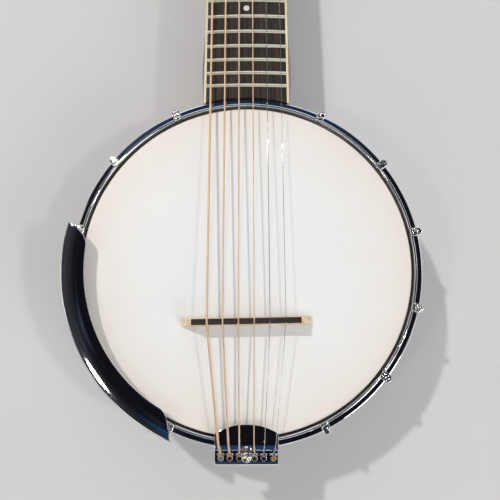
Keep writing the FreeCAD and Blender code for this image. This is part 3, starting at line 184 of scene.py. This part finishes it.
class Paint:
    """Builds the nodes of one material, or of the world, round one shader."""

    def __init__(self, owner, shader="ShaderNodeBsdfPrincipled", output="ShaderNodeOutputMaterial"):
        self.tree = owner.node_tree
        self.tree.nodes.clear()
        self.shader = self.add(shader)
        self.join(self.shader.outputs[0], self.add(output).inputs["Surface"])

    def add(self, kind, **settings):
        node = self.tree.nodes.new(kind)
        for name, value in settings.items():
            setattr(node, name, value)
        return node

    def join(self, source, target):
        self.tree.links.new(source, target)

    def put(self, value, socket):
        """Link an output, or set a plain value."""
        if isinstance(value, bpy.types.NodeSocket):
            self.join(value, socket)
        else:
            socket.default_value = value

    def set(self, name, value):
        self.put(value, self.shader.inputs[name])

    def colour(self, source):
        self.set("Base Color", source)

    def parts(self, vector):
        """The three parts of a vector."""
        split = self.add("ShaderNodeSeparateXYZ")
        self.join(vector, split.inputs[0])
        return split.outputs

    def coords(self, centre=(0, 0, 0), turn=(0, 0, 0), scale=(1, 1, 1)):
        """Object coordinates, moved, turned and scaled, in metres before scaling."""
        source = self.add("ShaderNodeTexCoord").outputs["Object"]
        mapping = self.add("ShaderNodeMapping", vector_type="TEXTURE")
        mapping.inputs["Location"].default_value = centre
        mapping.inputs["Rotation"].default_value = turn
        self.join(source, mapping.inputs["Vector"])
        stretch = self.add("ShaderNodeVectorMath", operation="MULTIPLY")
        self.join(mapping.outputs["Vector"], stretch.inputs[0])
        stretch.inputs[1].default_value = scale
        return stretch.outputs["Vector"]

    def hypotenuse(self, x, y):
        return self.math("SQRT", self.math("ADD", self.math("MULTIPLY", x, x), self.math("MULTIPLY", y, y)))

    def radius(self, centre):
        """Distance from an upright axis, in metres."""
        x, y, _ = self.parts(self.coords(centre))
        return self.hypotenuse(x, y)

    def polar(self, centre, scale):
        """Coordinates that run round an upright axis: arc length at the rim's radius, radius and height."""
        rim_radius = 100 * MM
        x, y, z = self.parts(self.coords(centre))
        joined = self.add("ShaderNodeCombineXYZ")
        self.join(self.math("MULTIPLY", self.math("ARCTAN2", y, x), rim_radius * scale[0]), joined.inputs[0])
        self.join(self.math("MULTIPLY", self.hypotenuse(x, y), scale[1]), joined.inputs[1])
        self.join(self.math("MULTIPLY", z, scale[2]), joined.inputs[2])
        return joined.outputs[0]

    def math(self, operation, a, b=None):
        node = self.add("ShaderNodeMath", operation=operation)
        self.put(a, node.inputs[0])
        if b is not None:
            self.put(b, node.inputs[1])
        return node.outputs[0]

    def noise(self, vector, scale, detail=4.0, roughness=0.55, distortion=0.0):
        node = self.add("ShaderNodeTexNoise")
        self.join(vector, node.inputs["Vector"])
        node.inputs["Scale"].default_value = scale
        node.inputs["Detail"].default_value = detail
        node.inputs["Roughness"].default_value = roughness
        node.inputs["Distortion"].default_value = distortion
        return node.outputs["Fac"]

    def ramp(self, source, stops):
        node = self.add("ShaderNodeValToRGB")
        self.join(source, node.inputs["Fac"])
        set_ramp(node, stops)
        return node.outputs["Color"]

    def span(self, source, low, high, to_low, to_high):
        """Map a value from one range to another, clamped."""
        node = self.add("ShaderNodeMapRange")
        self.join(source, node.inputs["Value"])
        for name, value in (("From Min", low), ("From Max", high), ("To Min", to_low), ("To Max", to_high)):
            node.inputs[name].default_value = value
        return node.outputs["Result"]

    def mix(self, share, a, b):
        """Blend two colours by a share from 0 to 1."""
        node = self.add("ShaderNodeMix", data_type="RGBA", blend_type="MIX")
        self.put(share, node.inputs["Factor"])
        for value, index in ((a, 6), (b, 7)):
            self.put((*value, 1.0) if isinstance(value, tuple) else value, node.inputs[index])
        return node.outputs[2]

    def bump(self, height, distance, strength, below=None):
        """A normal raised by a height, over another normal where one is given."""
        node = self.add("ShaderNodeBump")
        node.inputs["Strength"].default_value = strength
        node.inputs["Distance"].default_value = distance
        self.join(height, node.inputs["Height"])
        if below is not None:
            self.join(below, node.inputs["Normal"])
        return node.outputs["Normal"]

    def normal(self, source):
        self.join(source, self.shader.inputs["Normal"])


def new_paint(name):
    material = bpy.data.materials.new(name)
    material.use_nodes = True
    return material, Paint(material)


# ---------------------------------------------------------------- metals

def plated_metal(name, tint, dark, rough=0.035, worn=0.085, scratch=0.05, dents=0.0):
    """Bright plate with faint smears, hairlines, slightly duller patches and, on stampings, shallow dents."""
    material, paint = new_paint(name)
    where = paint.coords()
    smear = paint.noise(where, 55.0, detail=6.0, roughness=0.65, distortion=0.6)
    speck = paint.noise(where, 2600.0, detail=2.0)
    hair = paint.noise(paint.coords(turn=(0.3, 0.5, 0.7), scale=(9000.0, 160.0, 9000.0)), 1.0, detail=2.0)
    paint.colour(paint.mix(paint.span(smear, 0.42, 0.72, 0.0, 1.0), tint, dark))
    base = paint.span(smear, 0.40, 0.75, rough, worn)
    paint.set("Roughness", paint.math("ADD", base, paint.span(speck, 0.62, 0.8, 0.0, 0.03)))
    paint.set("Metallic", 1.0)
    below = paint.bump(paint.noise(where, 700.0, detail=1.0), dents * MM, 0.7) if dents else None
    paint.normal(paint.bump(hair, 0.000004, scratch, below))
    return material


def brushed_metal(name, tint, dark, along, rough=0.28, metallic=1.0):
    """Metal with fine lines along one axis."""
    material, paint = new_paint(name)
    scale = tuple(60.0 if axis == along else 5200.0 for axis in range(3))
    lines = paint.noise(paint.coords(scale=scale), 1.0, detail=5.0, roughness=0.7)
    patch = paint.noise(paint.coords(), 120.0, detail=4.0)
    tone = paint.math("ADD", paint.math("MULTIPLY", lines, 0.6), paint.math("MULTIPLY", patch, 0.4))
    paint.colour(paint.ramp(tone, [(0.3, dark), (0.65, tint)]))
    paint.set("Roughness", paint.span(lines, 0.3, 0.7, rough * 0.7, rough * 1.4))
    paint.set("Metallic", metallic)
    paint.normal(paint.bump(lines, 0.00001, 0.4))
    return material


def wound_metal(name, tint, dark, pitch):
    """String winding: fine rings across the string's length, with painted shade in the grooves between their
    crowns.
    """
    material, paint = new_paint(name)
    _, along, _ = paint.parts(paint.coords())
    turns = paint.math("MULTIPLY", along, 2 * pi / pitch)
    crown = paint.math("ADD", paint.math("MULTIPLY", paint.math("SINE", turns), 0.5), 0.5)
    tarnish = paint.noise(paint.coords(scale=(300.0, 30.0, 300.0)), 1.0, detail=4.0)
    tone = paint.mix(paint.span(tarnish, 0.35, 0.7, 0.0, 0.5), tint, dark)
    # Painted shade: the colour darkens in the grooves between the winding's crowns.
    paint.colour(paint.mix(paint.span(crown, 0.0, 0.5, 0.45, 0.0), tone, tuple(c * 0.4 for c in dark)))
    paint.set("Roughness", paint.span(tarnish, 0.3, 0.7, 0.34, 0.46))
    paint.set("Metallic", 0.75)
    paint.normal(paint.bump(crown, 0.00006, 0.5))
    return material


# ---------------------------------------------------------------- woods

def lacquered_wood(name, light, mid, dark, coat, ring=None):
    """Open-pored hardwood under gloss lacquer. The grain runs along the neck, or round a ring's centre."""
    material, paint = new_paint(name)

    def grain(across, along):
        if ring is not None:
            return paint.polar(ring, (along, across, across))
        return paint.coords(scale=(across, along, across))

    broad = paint.noise(grain(45.0, 3.0), 1.0, detail=5.0, roughness=0.6, distortion=0.8)
    fibre = paint.noise(grain(900.0, 18.0), 1.0, detail=4.0, roughness=0.7)
    pores = paint.noise(grain(1900.0, 90.0), 1.0, detail=2.0, roughness=0.5)
    figure = paint.math("ADD", paint.math("MULTIPLY", broad, 0.62), paint.math("MULTIPLY", fibre, 0.38))
    tone = paint.ramp(figure, [(0.34, dark), (0.5, mid), (0.66, light)])
    pore_mask = paint.span(pores, 0.60, 0.68, 0.0, 0.5)
    paint.colour(paint.mix(pore_mask, tone, tuple(channel * 0.35 for channel in dark)))
    paint.set("Roughness", paint.span(fibre, 0.3, 0.7, 0.30, 0.45))
    paint.set("Coat Weight", coat)
    paint.set("Coat Roughness", 0.05)
    wave = paint.noise(paint.coords(), 90.0, detail=2.0)
    below = paint.bump(pore_mask, 0.00005, 0.5)
    paint.normal(paint.bump(wave, 0.00006, 0.35, below))
    return material


def ebony(name, turn=(0, 0, 0), along=1):
    """Nearly black wood with fine lengthwise streaks and open pores, oiled and not lacquered."""
    material, paint = new_paint(name)

    def grain(across, lengthwise):
        scale = tuple(lengthwise if axis == along else across for axis in range(3))
        return paint.coords(turn=turn, scale=scale)

    streak = paint.noise(grain(420.0, 6.0), 1.0, detail=5.0, roughness=0.75)
    fine = paint.noise(grain(2600.0, 26.0), 1.0, detail=3.0, roughness=0.7)
    pores = paint.noise(grain(3000.0, 150.0), 1.0, detail=1.0)
    figure = paint.math("ADD", paint.math("MULTIPLY", streak, 0.55), paint.math("MULTIPLY", fine, 0.45))
    tone = paint.ramp(figure, [(0.36, (0.016, 0.012, 0.010)), (0.52, (0.040, 0.030, 0.024)),
                               (0.66, (0.085, 0.066, 0.050))])
    mask = paint.span(pores, 0.62, 0.70, 0.0, 0.8)
    paint.colour(paint.mix(mask, tone, (0.006, 0.005, 0.004)))
    paint.set("Roughness", paint.span(fine, 0.3, 0.7, 0.42, 0.60))
    paint.set("Specular IOR Level", 0.12)
    paint.normal(paint.bump(figure, 0.00004, 0.5, paint.bump(mask, 0.00005, 0.6)))
    return material


def maple(name):
    """Bare sanded maple with a fine fleck, its grain along the bridge."""
    material, paint = new_paint(name)
    turn = (0, 0, BRIDGE_TURN)
    bands = paint.noise(paint.coords(turn=turn, scale=(14.0, 380.0, 380.0)), 1.0, detail=5.0, roughness=0.65)
    fleck = paint.noise(paint.coords(turn=turn, scale=(320.0, 2600.0, 2600.0)), 1.0, detail=2.0)
    tone = paint.ramp(bands, [(0.32, (0.58, 0.42, 0.25)), (0.5, (0.76, 0.60, 0.40)),
                              (0.68, (0.87, 0.74, 0.54))])
    paint.colour(paint.mix(paint.span(fleck, 0.60, 0.70, 0.0, 0.45), tone, (0.36, 0.21, 0.10)))
    paint.set("Roughness", paint.span(bands, 0.3, 0.7, 0.45, 0.62))
    paint.normal(paint.bump(fleck, 0.00004, 0.4))
    return material


# ---------------------------------------------------------------- plastics, film, bone and pearl

def drum_film(name):
    """Smooth white film with a very fine tooth, cool in the middle, with a painted warm reflection of the
    plated hoop towards the edge.
    """
    material, paint = new_paint(name)
    radius = paint.radius((POT_X, POT_Y, 0))
    cloud = paint.noise(paint.coords(), 26.0, detail=4.0, roughness=0.6)
    tooth = paint.noise(paint.coords(), 5200.0, detail=2.0)
    # Painted reflection: the warm cream towards the edge stands in for the plated hoop's light reflected in
    # the film. It is not the film's own colour.
    edge = paint.math("ADD", radius, paint.span(cloud, 0.3, 0.7, -0.006, 0.006))
    share = paint.span(edge, 0.35 * HEAD_R, HEAD_R, 0.0, 1.0)
    tone = paint.ramp(share, [(0.0, (0.80, 0.80, 0.795)), (0.55, (0.80, 0.785, 0.76)),
                              (1.0, (0.79, 0.73, 0.655))])
    paint.colour(paint.mix(paint.span(cloud, 0.35, 0.7, 0.0, 0.10), tone, (0.70, 0.69, 0.67)))
    paint.set("Roughness", paint.span(cloud, 0.3, 0.7, 0.36, 0.46))
    paint.set("Specular IOR Level", 0.22)
    paint.set("Subsurface Weight", 0.05)
    paint.set("Subsurface Scale", 0.001)
    paint.normal(paint.bump(tooth, 0.00001, 0.25, paint.bump(cloud, 0.0002, 0.05)))
    return material


def celluloid(name):
    """Cream binding with faint lengthwise grain and slight yellowing."""
    material, paint = new_paint(name)
    grain = paint.noise(paint.coords(scale=(1600.0, 26.0, 1600.0)), 1.0, detail=3.0)
    age = paint.noise(paint.coords(), 40.0, detail=3.0)
    tone = paint.ramp(grain, [(0.35, (0.66, 0.57, 0.33)), (0.6, (0.80, 0.74, 0.50))])
    paint.colour(paint.mix(paint.span(age, 0.4, 0.7, 0.0, 0.4), tone, (0.62, 0.50, 0.26)))
    paint.set("Roughness", paint.span(age, 0.3, 0.7, 0.22, 0.36))
    paint.set("Subsurface Weight", 0.1)
    paint.set("Subsurface Scale", 0.002)
    paint.normal(paint.bump(grain, 0.00002, 0.3))
    return material


def pearl(name):
    """Layered shell with soft green and pink shifts."""
    material, paint = new_paint(name)
    layer = paint.noise(paint.coords(turn=(0.4, 0.2, 0.6), scale=(300.0, 900.0, 300.0)), 1.0, detail=3.0,
                        distortion=1.4)
    paint.colour(paint.ramp(layer, [(0.3, (0.50, 0.50, 0.44)), (0.45, (0.66, 0.62, 0.58)),
                                    (0.58, (0.58, 0.64, 0.56)), (0.72, (0.72, 0.68, 0.62))]))
    paint.set("Roughness", paint.span(layer, 0.3, 0.7, 0.18, 0.32))
    paint.set("Coat Weight", 0.6)
    paint.set("Coat Roughness", 0.08)
    paint.normal(paint.bump(layer, 0.00002, 0.2))
    return material


def bone(name):
    """Polished bone with short dark pores along the nut."""
    material, paint = new_paint(name)
    pores = paint.noise(paint.coords(scale=(260.0, 2200.0, 2200.0)), 1.0, detail=2.0)
    cloud = paint.noise(paint.coords(), 160.0, detail=4.0)
    tone = paint.ramp(cloud, [(0.35, (0.66, 0.58, 0.42)), (0.6, (0.79, 0.74, 0.60))])
    paint.colour(paint.mix(paint.span(pores, 0.62, 0.72, 0.0, 0.5), tone, (0.42, 0.33, 0.20)))
    paint.set("Roughness", paint.span(cloud, 0.3, 0.7, 0.24, 0.38))
    paint.set("Subsurface Weight", 0.12)
    paint.set("Subsurface Scale", 0.002)
    paint.normal(paint.bump(pores, 0.00002, 0.3))
    return material


def enamelled(name, tint, centre):
    """A turned ferrule with coloured enamel in the middle of its face and a bare rim, rubbed in places."""
    material, paint = new_paint(name)
    wear = paint.noise(paint.coords(), 900.0, detail=4.0, roughness=0.65)
    ring = paint.noise(paint.coords(scale=(60.0, 60.0, 6000.0)), 1.0, detail=2.0)
    rim = paint.span(paint.radius(centre), 0.00104, 0.00112, 0.0, 1.0)
    enamel = paint.mix(paint.span(wear, 0.66, 0.76, 0.0, 0.8), tint, (0.62, 0.52, 0.30))
    paint.colour(paint.mix(rim, enamel, (0.36, 0.34, 0.30)))
    paint.set("Roughness", paint.span(wear, 0.3, 0.7, 0.12, 0.24))
    paint.set("Metallic", paint.math("ADD", paint.math("MULTIPLY", rim, 0.7), 0.25))
    paint.normal(paint.bump(ring, 0.00001, 0.4))
    return material


def black_lacquer(name):
    """Gloss black with dust-fine specks and the soft waviness of a sprayed coat."""
    material, paint = new_paint(name)
    speck = paint.noise(paint.coords(), 4200.0, detail=2.0)
    haze = paint.noise(paint.coords(), 30.0, detail=5.0)
    tone = paint.ramp(haze, [(0.35, (0.007, 0.007, 0.008)), (0.7, (0.016, 0.015, 0.015))])
    paint.colour(paint.mix(paint.span(speck, 0.70, 0.78, 0.0, 0.35), tone, (0.10, 0.10, 0.10)))
    paint.set("Roughness", paint.span(haze, 0.35, 0.7, 0.08, 0.2))
    paint.set("Coat Weight", 0.5)
    paint.set("Coat Roughness", 0.04)
    paint.normal(paint.bump(haze, 0.00008, 0.2))
    return material


# ---------------------------------------------------------------- mesh tools

def mesh_object(name, points, faces, smooth_angle):
    """An object from points in the shared frame. Edges sharper than the angle, in degrees, stay sharp."""
    mesh = bpy.data.meshes.new(name)
    mesh.from_pydata([tuple(p) for p in points], [], faces)
    mesh.update()
    work = bmesh.new()
    work.from_mesh(mesh)
    bmesh.ops.recalc_face_normals(work, faces=work.faces)
    for edge in work.edges:
        edge.smooth = len(edge.link_faces) == 2 and edge.calc_face_angle(0.0) < radians(smooth_angle)
    work.to_mesh(mesh)
    work.free()
    for polygon in mesh.polygons:
        polygon.use_smooth = True
    obj = bpy.data.objects.new(name, mesh)
    bpy.context.scene.collection.objects.link(obj)
    return obj


def grid_faces(rows, columns, closed_rows, closed_columns):
    """Quads of a grid of points, row by row."""
    faces = []
    for i in range(rows if closed_rows else rows - 1):
        for j in range(columns if closed_columns else columns - 1):
            a, b = i * columns + j, i * columns + (j + 1) % columns
            c, d = ((i + 1) % rows) * columns + (j + 1) % columns, ((i + 1) % rows) * columns + j
            faces.append((a, b, c, d))
    return faces


def lathe(name, outline, centre, steps, smooth_angle, closed=True):
    """Turn an outline of (radius, height) pairs, in millimetres, about an upright axis through a centre."""
    points = []
    for i in range(steps):
        turn = 2 * pi * i / steps
        points += [centre + Vector((r * cos(turn), r * sin(turn), z)) * MM for r, z in outline]
    return mesh_object(name, points, grid_faces(steps, len(outline), True, closed), smooth_angle)


def frames_along(path):
    """A pair of directions across the path at each of its points, turned as little as possible."""
    across = []
    count = len(path)
    tangents = [(path[min(i + 1, count - 1)] - path[max(i - 1, 0)]).normalized() for i in range(count)]
    side = tangents[0].orthogonal().normalized()
    for tangent in tangents:
        side = (side - tangent * side.dot(tangent)).normalized()
        across.append((side.copy(), tangent.cross(side).normalized()))
    return across


def tube(name, path, radius, sides):
    """A closed tube along a path."""
    points = []
    for place, (side, other) in zip(path, frames_along(path)):
        for j in range(sides):
            turn = 2 * pi * j / sides
            points.append(place + (side * cos(turn) + other * sin(turn)) * radius)
    faces = grid_faces(len(path), sides, False, True)
    faces.append(tuple(reversed(range(sides))))
    last = (len(path) - 1) * sides
    faces.append(tuple(last + j for j in range(sides)))
    return mesh_object(name, points, faces, 60.0)


def joined(name, objects):
    """Several meshes as one piece."""
    bpy.ops.object.select_all(action="DESELECT")
    for obj in objects:
        obj.select_set(True)
    bpy.context.view_layer.objects.active = objects[0]
    bpy.ops.object.join()
    objects[0].name = name
    objects[0].data.name = name
    return objects[0]


def finish_piece(obj, material, body, replaced=()):
    """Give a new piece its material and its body."""
    obj.data.materials.clear()
    obj.data.materials.append(material)
    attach(obj, body)
    if replaced:
        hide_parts(*replaced)
    return obj


# ---------------------------------------------------------------- head

def quarter_turn(centre, radius, angles):
    """Points round a corner of the head's outline, at angles from straight up."""
    x, z = centre
    return [(x + radius * sin(radians(a)), z + radius * cos(radians(a))) for a in angles]


def make_head(material):
    """One moulded film: flat out to the rim, bent down over it with a small radius."""
    thick, shoulder, outer = 0.35, 1.1, HEAD_R / MM
    top = HEAD_TOP / MM
    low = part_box("head_collar")[0].z / MM
    corner = (outer - shoulder, top - shoulder)
    over = quarter_turn(corner, shoulder, range(0, 91, 10))
    under = quarter_turn(corner, shoulder - thick, range(90, -1, -10))
    outline = over + [(outer, low), (outer - thick, low)] + under
    skin = lathe("head_skin", outline, pot(0, 0, 0), 360, 60.0, closed=False)
    shape = bmesh.new()
    shape.from_mesh(skin.data)
    rims = [e for e in shape.edges if e.is_boundary]
    between_faces = (top - 0.1) * MM
    bmesh.ops.contextual_create(shape, geom=[e for e in rims if e.verts[0].co.z > between_faces])
    bmesh.ops.contextual_create(shape, geom=[e for e in rims if e.verts[0].co.z < between_faces])
    bmesh.ops.recalc_face_normals(shape, faces=shape.faces)
    for face in shape.faces:
        face.smooth = len(face.verts) == 4
    shape.to_mesh(skin.data)
    shape.free()
    finish_piece(skin, material, ROOT, ("head", "head_collar"))


# ---------------------------------------------------------------- strings

def cut_at(node, y):
    """Points where a CAD mesh's edges cross a plane across Y."""
    points = []
    for edge in node.data.edges:
        a, b = (node.data.vertices[i].co for i in edge.vertices)
        if (a.y - y) * (b.y - y) < 0:
            points.append(a.lerp(b, (y - a.y) / (b.y - a.y)))
    return points


def middle_of(points):
    return sum(points, Vector((0, 0, 0))) / len(points)


def string_path(index):
    """The string's centre line, from its ball end to its post, read from the CAD string."""
    node = frame["nodes"]["string_%d" % index]
    low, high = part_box("string_%d" % index)
    edge, spacing = 0.9 * MM, 3 * MM
    length = high.y - low.y
    count = int(length / spacing)
    stations = [low.y + edge + (length - 2 * edge) * i / count for i in range(count + 1)]
    return [middle_of(cut_at(node, y)) for y in stations]


def resampled(path, spacing):
    """The same line with points at an even spacing."""
    points, carry = [path[0]], 0.0
    for a, b in zip(path, path[1:]):
        length = (b - a).length
        at = spacing - carry
        while at < length:
            points.append(a.lerp(b, at / length))
            at += spacing
        carry = length - (at - spacing)
    return points


def string_radius(index):
    """Radius of a CAD string, from its width where it crosses the neck, 300 mm from the pot's axis."""
    ring = cut_at(frame["nodes"]["string_%d" % index], POT_Y + 300 * MM)
    centre = middle_of(ring)
    return max((point - centre).length for point in ring)


def metal_of(index, bronze, steel):
    """Material and slot of a string."""
    return (bronze, "bronze") if index <= LAST_WOUND else (steel, "plain_string")


def helix(path, radius, pitch):
    """Points of a wire wound round a path."""
    steps = 14
    points = resampled(path, pitch / steps)
    wound = []
    for i, (place, (side, other)) in enumerate(zip(points, frames_along(points))):
        turn = 2 * pi * i / steps
        wound.append(place + (side * cos(turn) + other * sin(turn)) * radius)
    return wound


BALL_COLOURS = {1: ("silver", (0.30, 0.27, 0.27)), 2: ("red", (0.17, 0.010, 0.008)),
                3: ("black", (0.006, 0.006, 0.006)), 4: ("green", (0.012, 0.060, 0.010)),
                5: ("purple", (0.050, 0.008, 0.065)), 6: ("gold", (0.52, 0.36, 0.07))}


def ball_centre(index):
    """Middle, radius and half height of one CAD ball end. They stand in order along X."""
    mesh = frame["nodes"]["ball_ends"].data
    low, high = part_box("ball_ends")
    near = string_path(index)[0]
    radius = (high.y - low.y) / 2
    around = [v.co for v in mesh.vertices if abs(v.co.x - near.x) < 1.6 * radius]
    middle = (min(c.x for c in around) + max(c.x for c in around)) / 2
    return Vector((middle, (low.y + high.y) / 2, (low.z + high.z) / 2)), radius, (high.z - low.z) / 2


def ball_outline(radius, half):
    """A drilled ferrule with chamfered ends and a groove round its waist, in millimetres."""
    bore, chamfer, depth = 0.5, 0.25, 0.3
    return [(bore, -half), (radius - chamfer, -half), (radius, -half + chamfer), (radius, -0.55),
            (radius - depth, -0.3), (radius - depth, 0.3), (radius, 0.55), (radius, half - chamfer),
            (radius - chamfer, half), (bore + chamfer, half), (bore, half - chamfer)]


def make_twist(index):
    """The string's end wound back on itself next to the ball."""
    path, core = string_path(index), string_radius(index)
    wound = index <= LAST_WOUND
    wire, length, pitch = (0.16 * MM, 3.0 * MM, 0.9 * MM) if wound else (0.21 * MM, 3.4 * MM, 1.0 * MM)
    reach = [p for p in resampled(path, 0.2 * MM) if (p - path[0]).length < length]
    return tube("twist_a", helix(reach, core + wire * 0.7, pitch), wire, 8)


def make_ball_ends(bronze, steel):
    """Coloured ferrules, each with the string looped round it and twisted back on itself."""
    for index in STRINGS:
        centre, radius, half = ball_centre(index)
        ball = lathe("ball_%d" % index, ball_outline(radius / MM, half / MM), centre, 40, 35.0)
        colour, tint = BALL_COLOURS[index]
        finish_piece(ball, enamelled("enamel_" + colour, tint, tuple(centre)), ROOT, ("ball_ends",))
        angles = [pi / 2 + 2 * pi * i / 36 for i in range(37)]
        eye = [centre + Vector((cos(a), sin(a), 0)) * (radius + 0.02 * MM) for a in angles]
        piece = joined("string_%d_loop" % index, [make_twist(index), tube("loop_a", eye, 0.2 * MM, 10)])
        metal, slot = metal_of(index, bronze, steel)
        finish_piece(piece, metal, ROOT)


# A string post is a cylinder with a round groove turned into it. The groove's section is an arc, whose middle
# lies outside the post, and the string's end goes through a hole just above.
POST_R = 3.0 * MM
GROOVE_R = 3.6 * MM
GROOVE_FROM_AXIS = 6.2 * MM
GROOVE_HEIGHT = 21.2 * MM
HOLE_HEIGHT = 22.6 * MM


def post_radius(level):
    """Radius of a string post at a height above its joint."""
    depth = sqrt(max(0.0, GROOVE_R ** 2 - (level - GROOVE_HEIGHT) ** 2))
    return min(POST_R, GROOVE_FROM_AXIS - depth)


def coil_path(index, origin, up):
    """One level turn that the string meets, then rising turns to the hole, and the end through the hole."""
    core, end = string_radius(index), string_path(index)[-1]
    height = (end - origin).dot(up)
    side = (end - origin - up * height).normalized()
    # Three posts stand on each side, and the two sides wind opposite ways
    turning = 1.0 if index <= 3 else -1.0
    rise, pitch = HOLE_HEIGHT - height, 2.3 * core
    turns = round(max(2.0, min(5.0, rise / pitch))) + 0.25
    per_turn, overlap, clearance = 36, 4, 0.03 * MM
    steps = int(turns * per_turn)
    path = []
    for i in range(-overlap, per_turn + steps + 1):
        level = height + rise * max(0.0, (i - per_turn) / steps)
        turn = turning * 2 * pi * i / per_turn
        around = side * cos(turn) + up.cross(side) * sin(turn)
        path.append(origin + up * level + around * (post_radius(level) + core + clearance))
    hole = origin + up * HOLE_HEIGHT
    last = (path[-1] - hole).normalized()
    tip = hole - last * (4.6 * MM) + up * (0.5 * MM)
    return path + [hole + last * (2.0 * MM), hole - last * (3.0 * MM), tip]


def make_coils(bronze, steel):
    """The turns of each string on its post, with the end pushed through the post's hole."""
    for index in STRINGS:
        joint = next(j for j in frame["joints"] if j["name"] == "tuner_%d_post_turn" % index)
        path = coil_path(index, Vector(joint["pos_m"]), Vector(joint["axis"]).normalized())
        coil = tube("string_%d_coil" % index, path, string_radius(index), 10)
        metal, slot = metal_of(index, bronze, steel)
        finish_piece(coil, metal, "tuner_%d_post" % index)


def make_strings(bronze, steel):
    """Four wound strings and two plain ones, in place of the CAD wires."""
    for index in STRINGS:
        piece = tube("string_%d_wire" % index, string_path(index), string_radius(index), 16)
        metal, slot = metal_of(index, bronze, steel)
        finish_piece(piece, metal, ROOT, ("string_%d" % index,))


# ---------------------------------------------------------------- carried-over nodes

# Width of the rounding on each node's hard edges, in millimetres. Short edges make it narrower.
SOFTENED = {
    "rim": 0.6, "neck": 0.5, "peghead_overlay": 0.3, "truss_rod_cover": 0.3, "nut": 0.3,
    "bridge": 0.3, "bridge_cap": 0.2, "tailpiece_plate": 0.35, "tailpiece_hanger": 0.3,
    "armrest_plate": 0.25, "armrest_brackets": 0.3, "bracket_hooks": 0.5, "bracket_nuts": 0.3,
    "bracket_shoes": 0.4, "tuner_housings": 0.3,
}
# Nodes that are rounded by the full width all the same
FULL_WIDTH = ("tailpiece_plate",)


def soften(name, width):
    """Round the CAD node's hard edges a little, as a worn or polished edge is."""
    node = frame["nodes"][name]
    weld = node.modifiers.new("weld", "WELD")
    weld.merge_threshold = 0.002 * MM
    bevel = node.modifiers.new("bevel", "BEVEL")
    bevel.width = width * MM
    bevel.segments = 2
    bevel.limit_method = "ANGLE"
    bevel.angle_limit = radians(35)
    bevel.use_clamp_overlap = name not in FULL_WIDTH


def dress(nodes, material):
    """Put one material on CAD nodes."""
    for name in nodes:
        data = frame["nodes"][name].data
        data.materials.clear()
        data.materials.append(material)


def dress_wood():
    """The wooden, plastic and bone parts."""
    mahogany = lacquered_wood("neck_mahogany", (0.20, 0.070, 0.036), (0.115, 0.036, 0.020),
                              (0.050, 0.016, 0.010), 0.8)
    rim_wood = lacquered_wood("rim_mahogany", (0.27, 0.10, 0.050), (0.17, 0.055, 0.028),
                              (0.080, 0.026, 0.015), 0.6, ring=(POT_X, POT_Y, 0))
    dress(["rim"], rim_wood)
    dress(["neck"], mahogany)
    dress(["fretboard"], ebony("board_ebony"))
    dress(["bridge_cap"], ebony("cap_ebony", turn=(0, 0, BRIDGE_TURN), along=0))
    dress(["bridge"], maple("bridge_maple"))
    dress(["fretboard_binding"], celluloid("cream_celluloid"))
    dress(["position_dots"], pearl("dot_pearl"))
    dress(["nut"], bone("nut_bone"))
    dress(["peghead_overlay", "truss_rod_cover"], black_lacquer("black_lacquer"))


def dress_metal():
    """The plated, nickel, steel and brass parts."""
    chrome = plated_metal("chrome_plate", (0.80, 0.81, 0.84), (0.66, 0.67, 0.70))
    bright = plated_metal("chrome_hardware", (0.82, 0.83, 0.85), (0.60, 0.61, 0.64), rough=0.06, worn=0.15)
    satin = plated_metal("satin_nickel", (0.88, 0.87, 0.84), (0.60, 0.59, 0.57), rough=0.08, worn=0.16,
                         dents=0.9)
    screw = plated_metal("screw_nickel", (0.90, 0.88, 0.80), (0.72, 0.69, 0.60), rough=0.15, worn=0.26)
    steel = brushed_metal("zinc_steel", (0.58, 0.58, 0.58), (0.36, 0.36, 0.37), 1)
    brass = brushed_metal("turned_brass", (0.86, 0.66, 0.30), (0.62, 0.43, 0.17), 2, rough=0.22)
    nickel = brushed_metal("fret_nickel", (0.97, 0.92, 0.74), (0.90, 0.85, 0.66), 0, rough=0.12,
                           metallic=0.62)
    tuner_parts = ["tuner_%d_%s" % (i, part) for part in ("post", "key") for i in STRINGS]
    dress(["frets"], nickel)
    dress(["coordinator_rod", "neck_studs", "truss_rod", "truss_rod_nut"], steel)
    dress(["tone_ring"] + ["tuner_%d_gear" % i for i in STRINGS], brass)
    dress(["tension_hoop", "armrest_plate", "tailpiece_plate"], chrome)
    dress(["bracket_hooks", "bracket_nuts"], satin)
    dress(["tension_screw"], screw)
    dress(["flesh_hoop", "bracket_shoes", "shoe_screws", "curved_washers", "rod_nuts", "end_bolt",
           "armrest_brackets", "tailpiece_hanger", "tuner_housings", "tuner_bushings", "peghead_screws"]
          + tuner_parts, bright)


def main():
    make_camera()
    make_floor()
    make_lights()
    make_world()
    bpy.context.scene.view_settings.view_transform = "Standard"
    dress_metal()
    dress_wood()
    for name, width in SOFTENED.items():
        soften(name, width)
    bronze = wound_metal("string_bronze", (0.86, 0.61, 0.40), (0.68, 0.43, 0.26), 0.4 * MM)
    plain = plated_metal("string_steel", (0.54, 0.53, 0.55), (0.38, 0.37, 0.39), rough=0.07, worn=0.12)
    make_head(drum_film("head_film"))
    make_strings(bronze, plain)
    make_ball_ends(bronze, plain)
    make_coils(bronze, plain)


main()
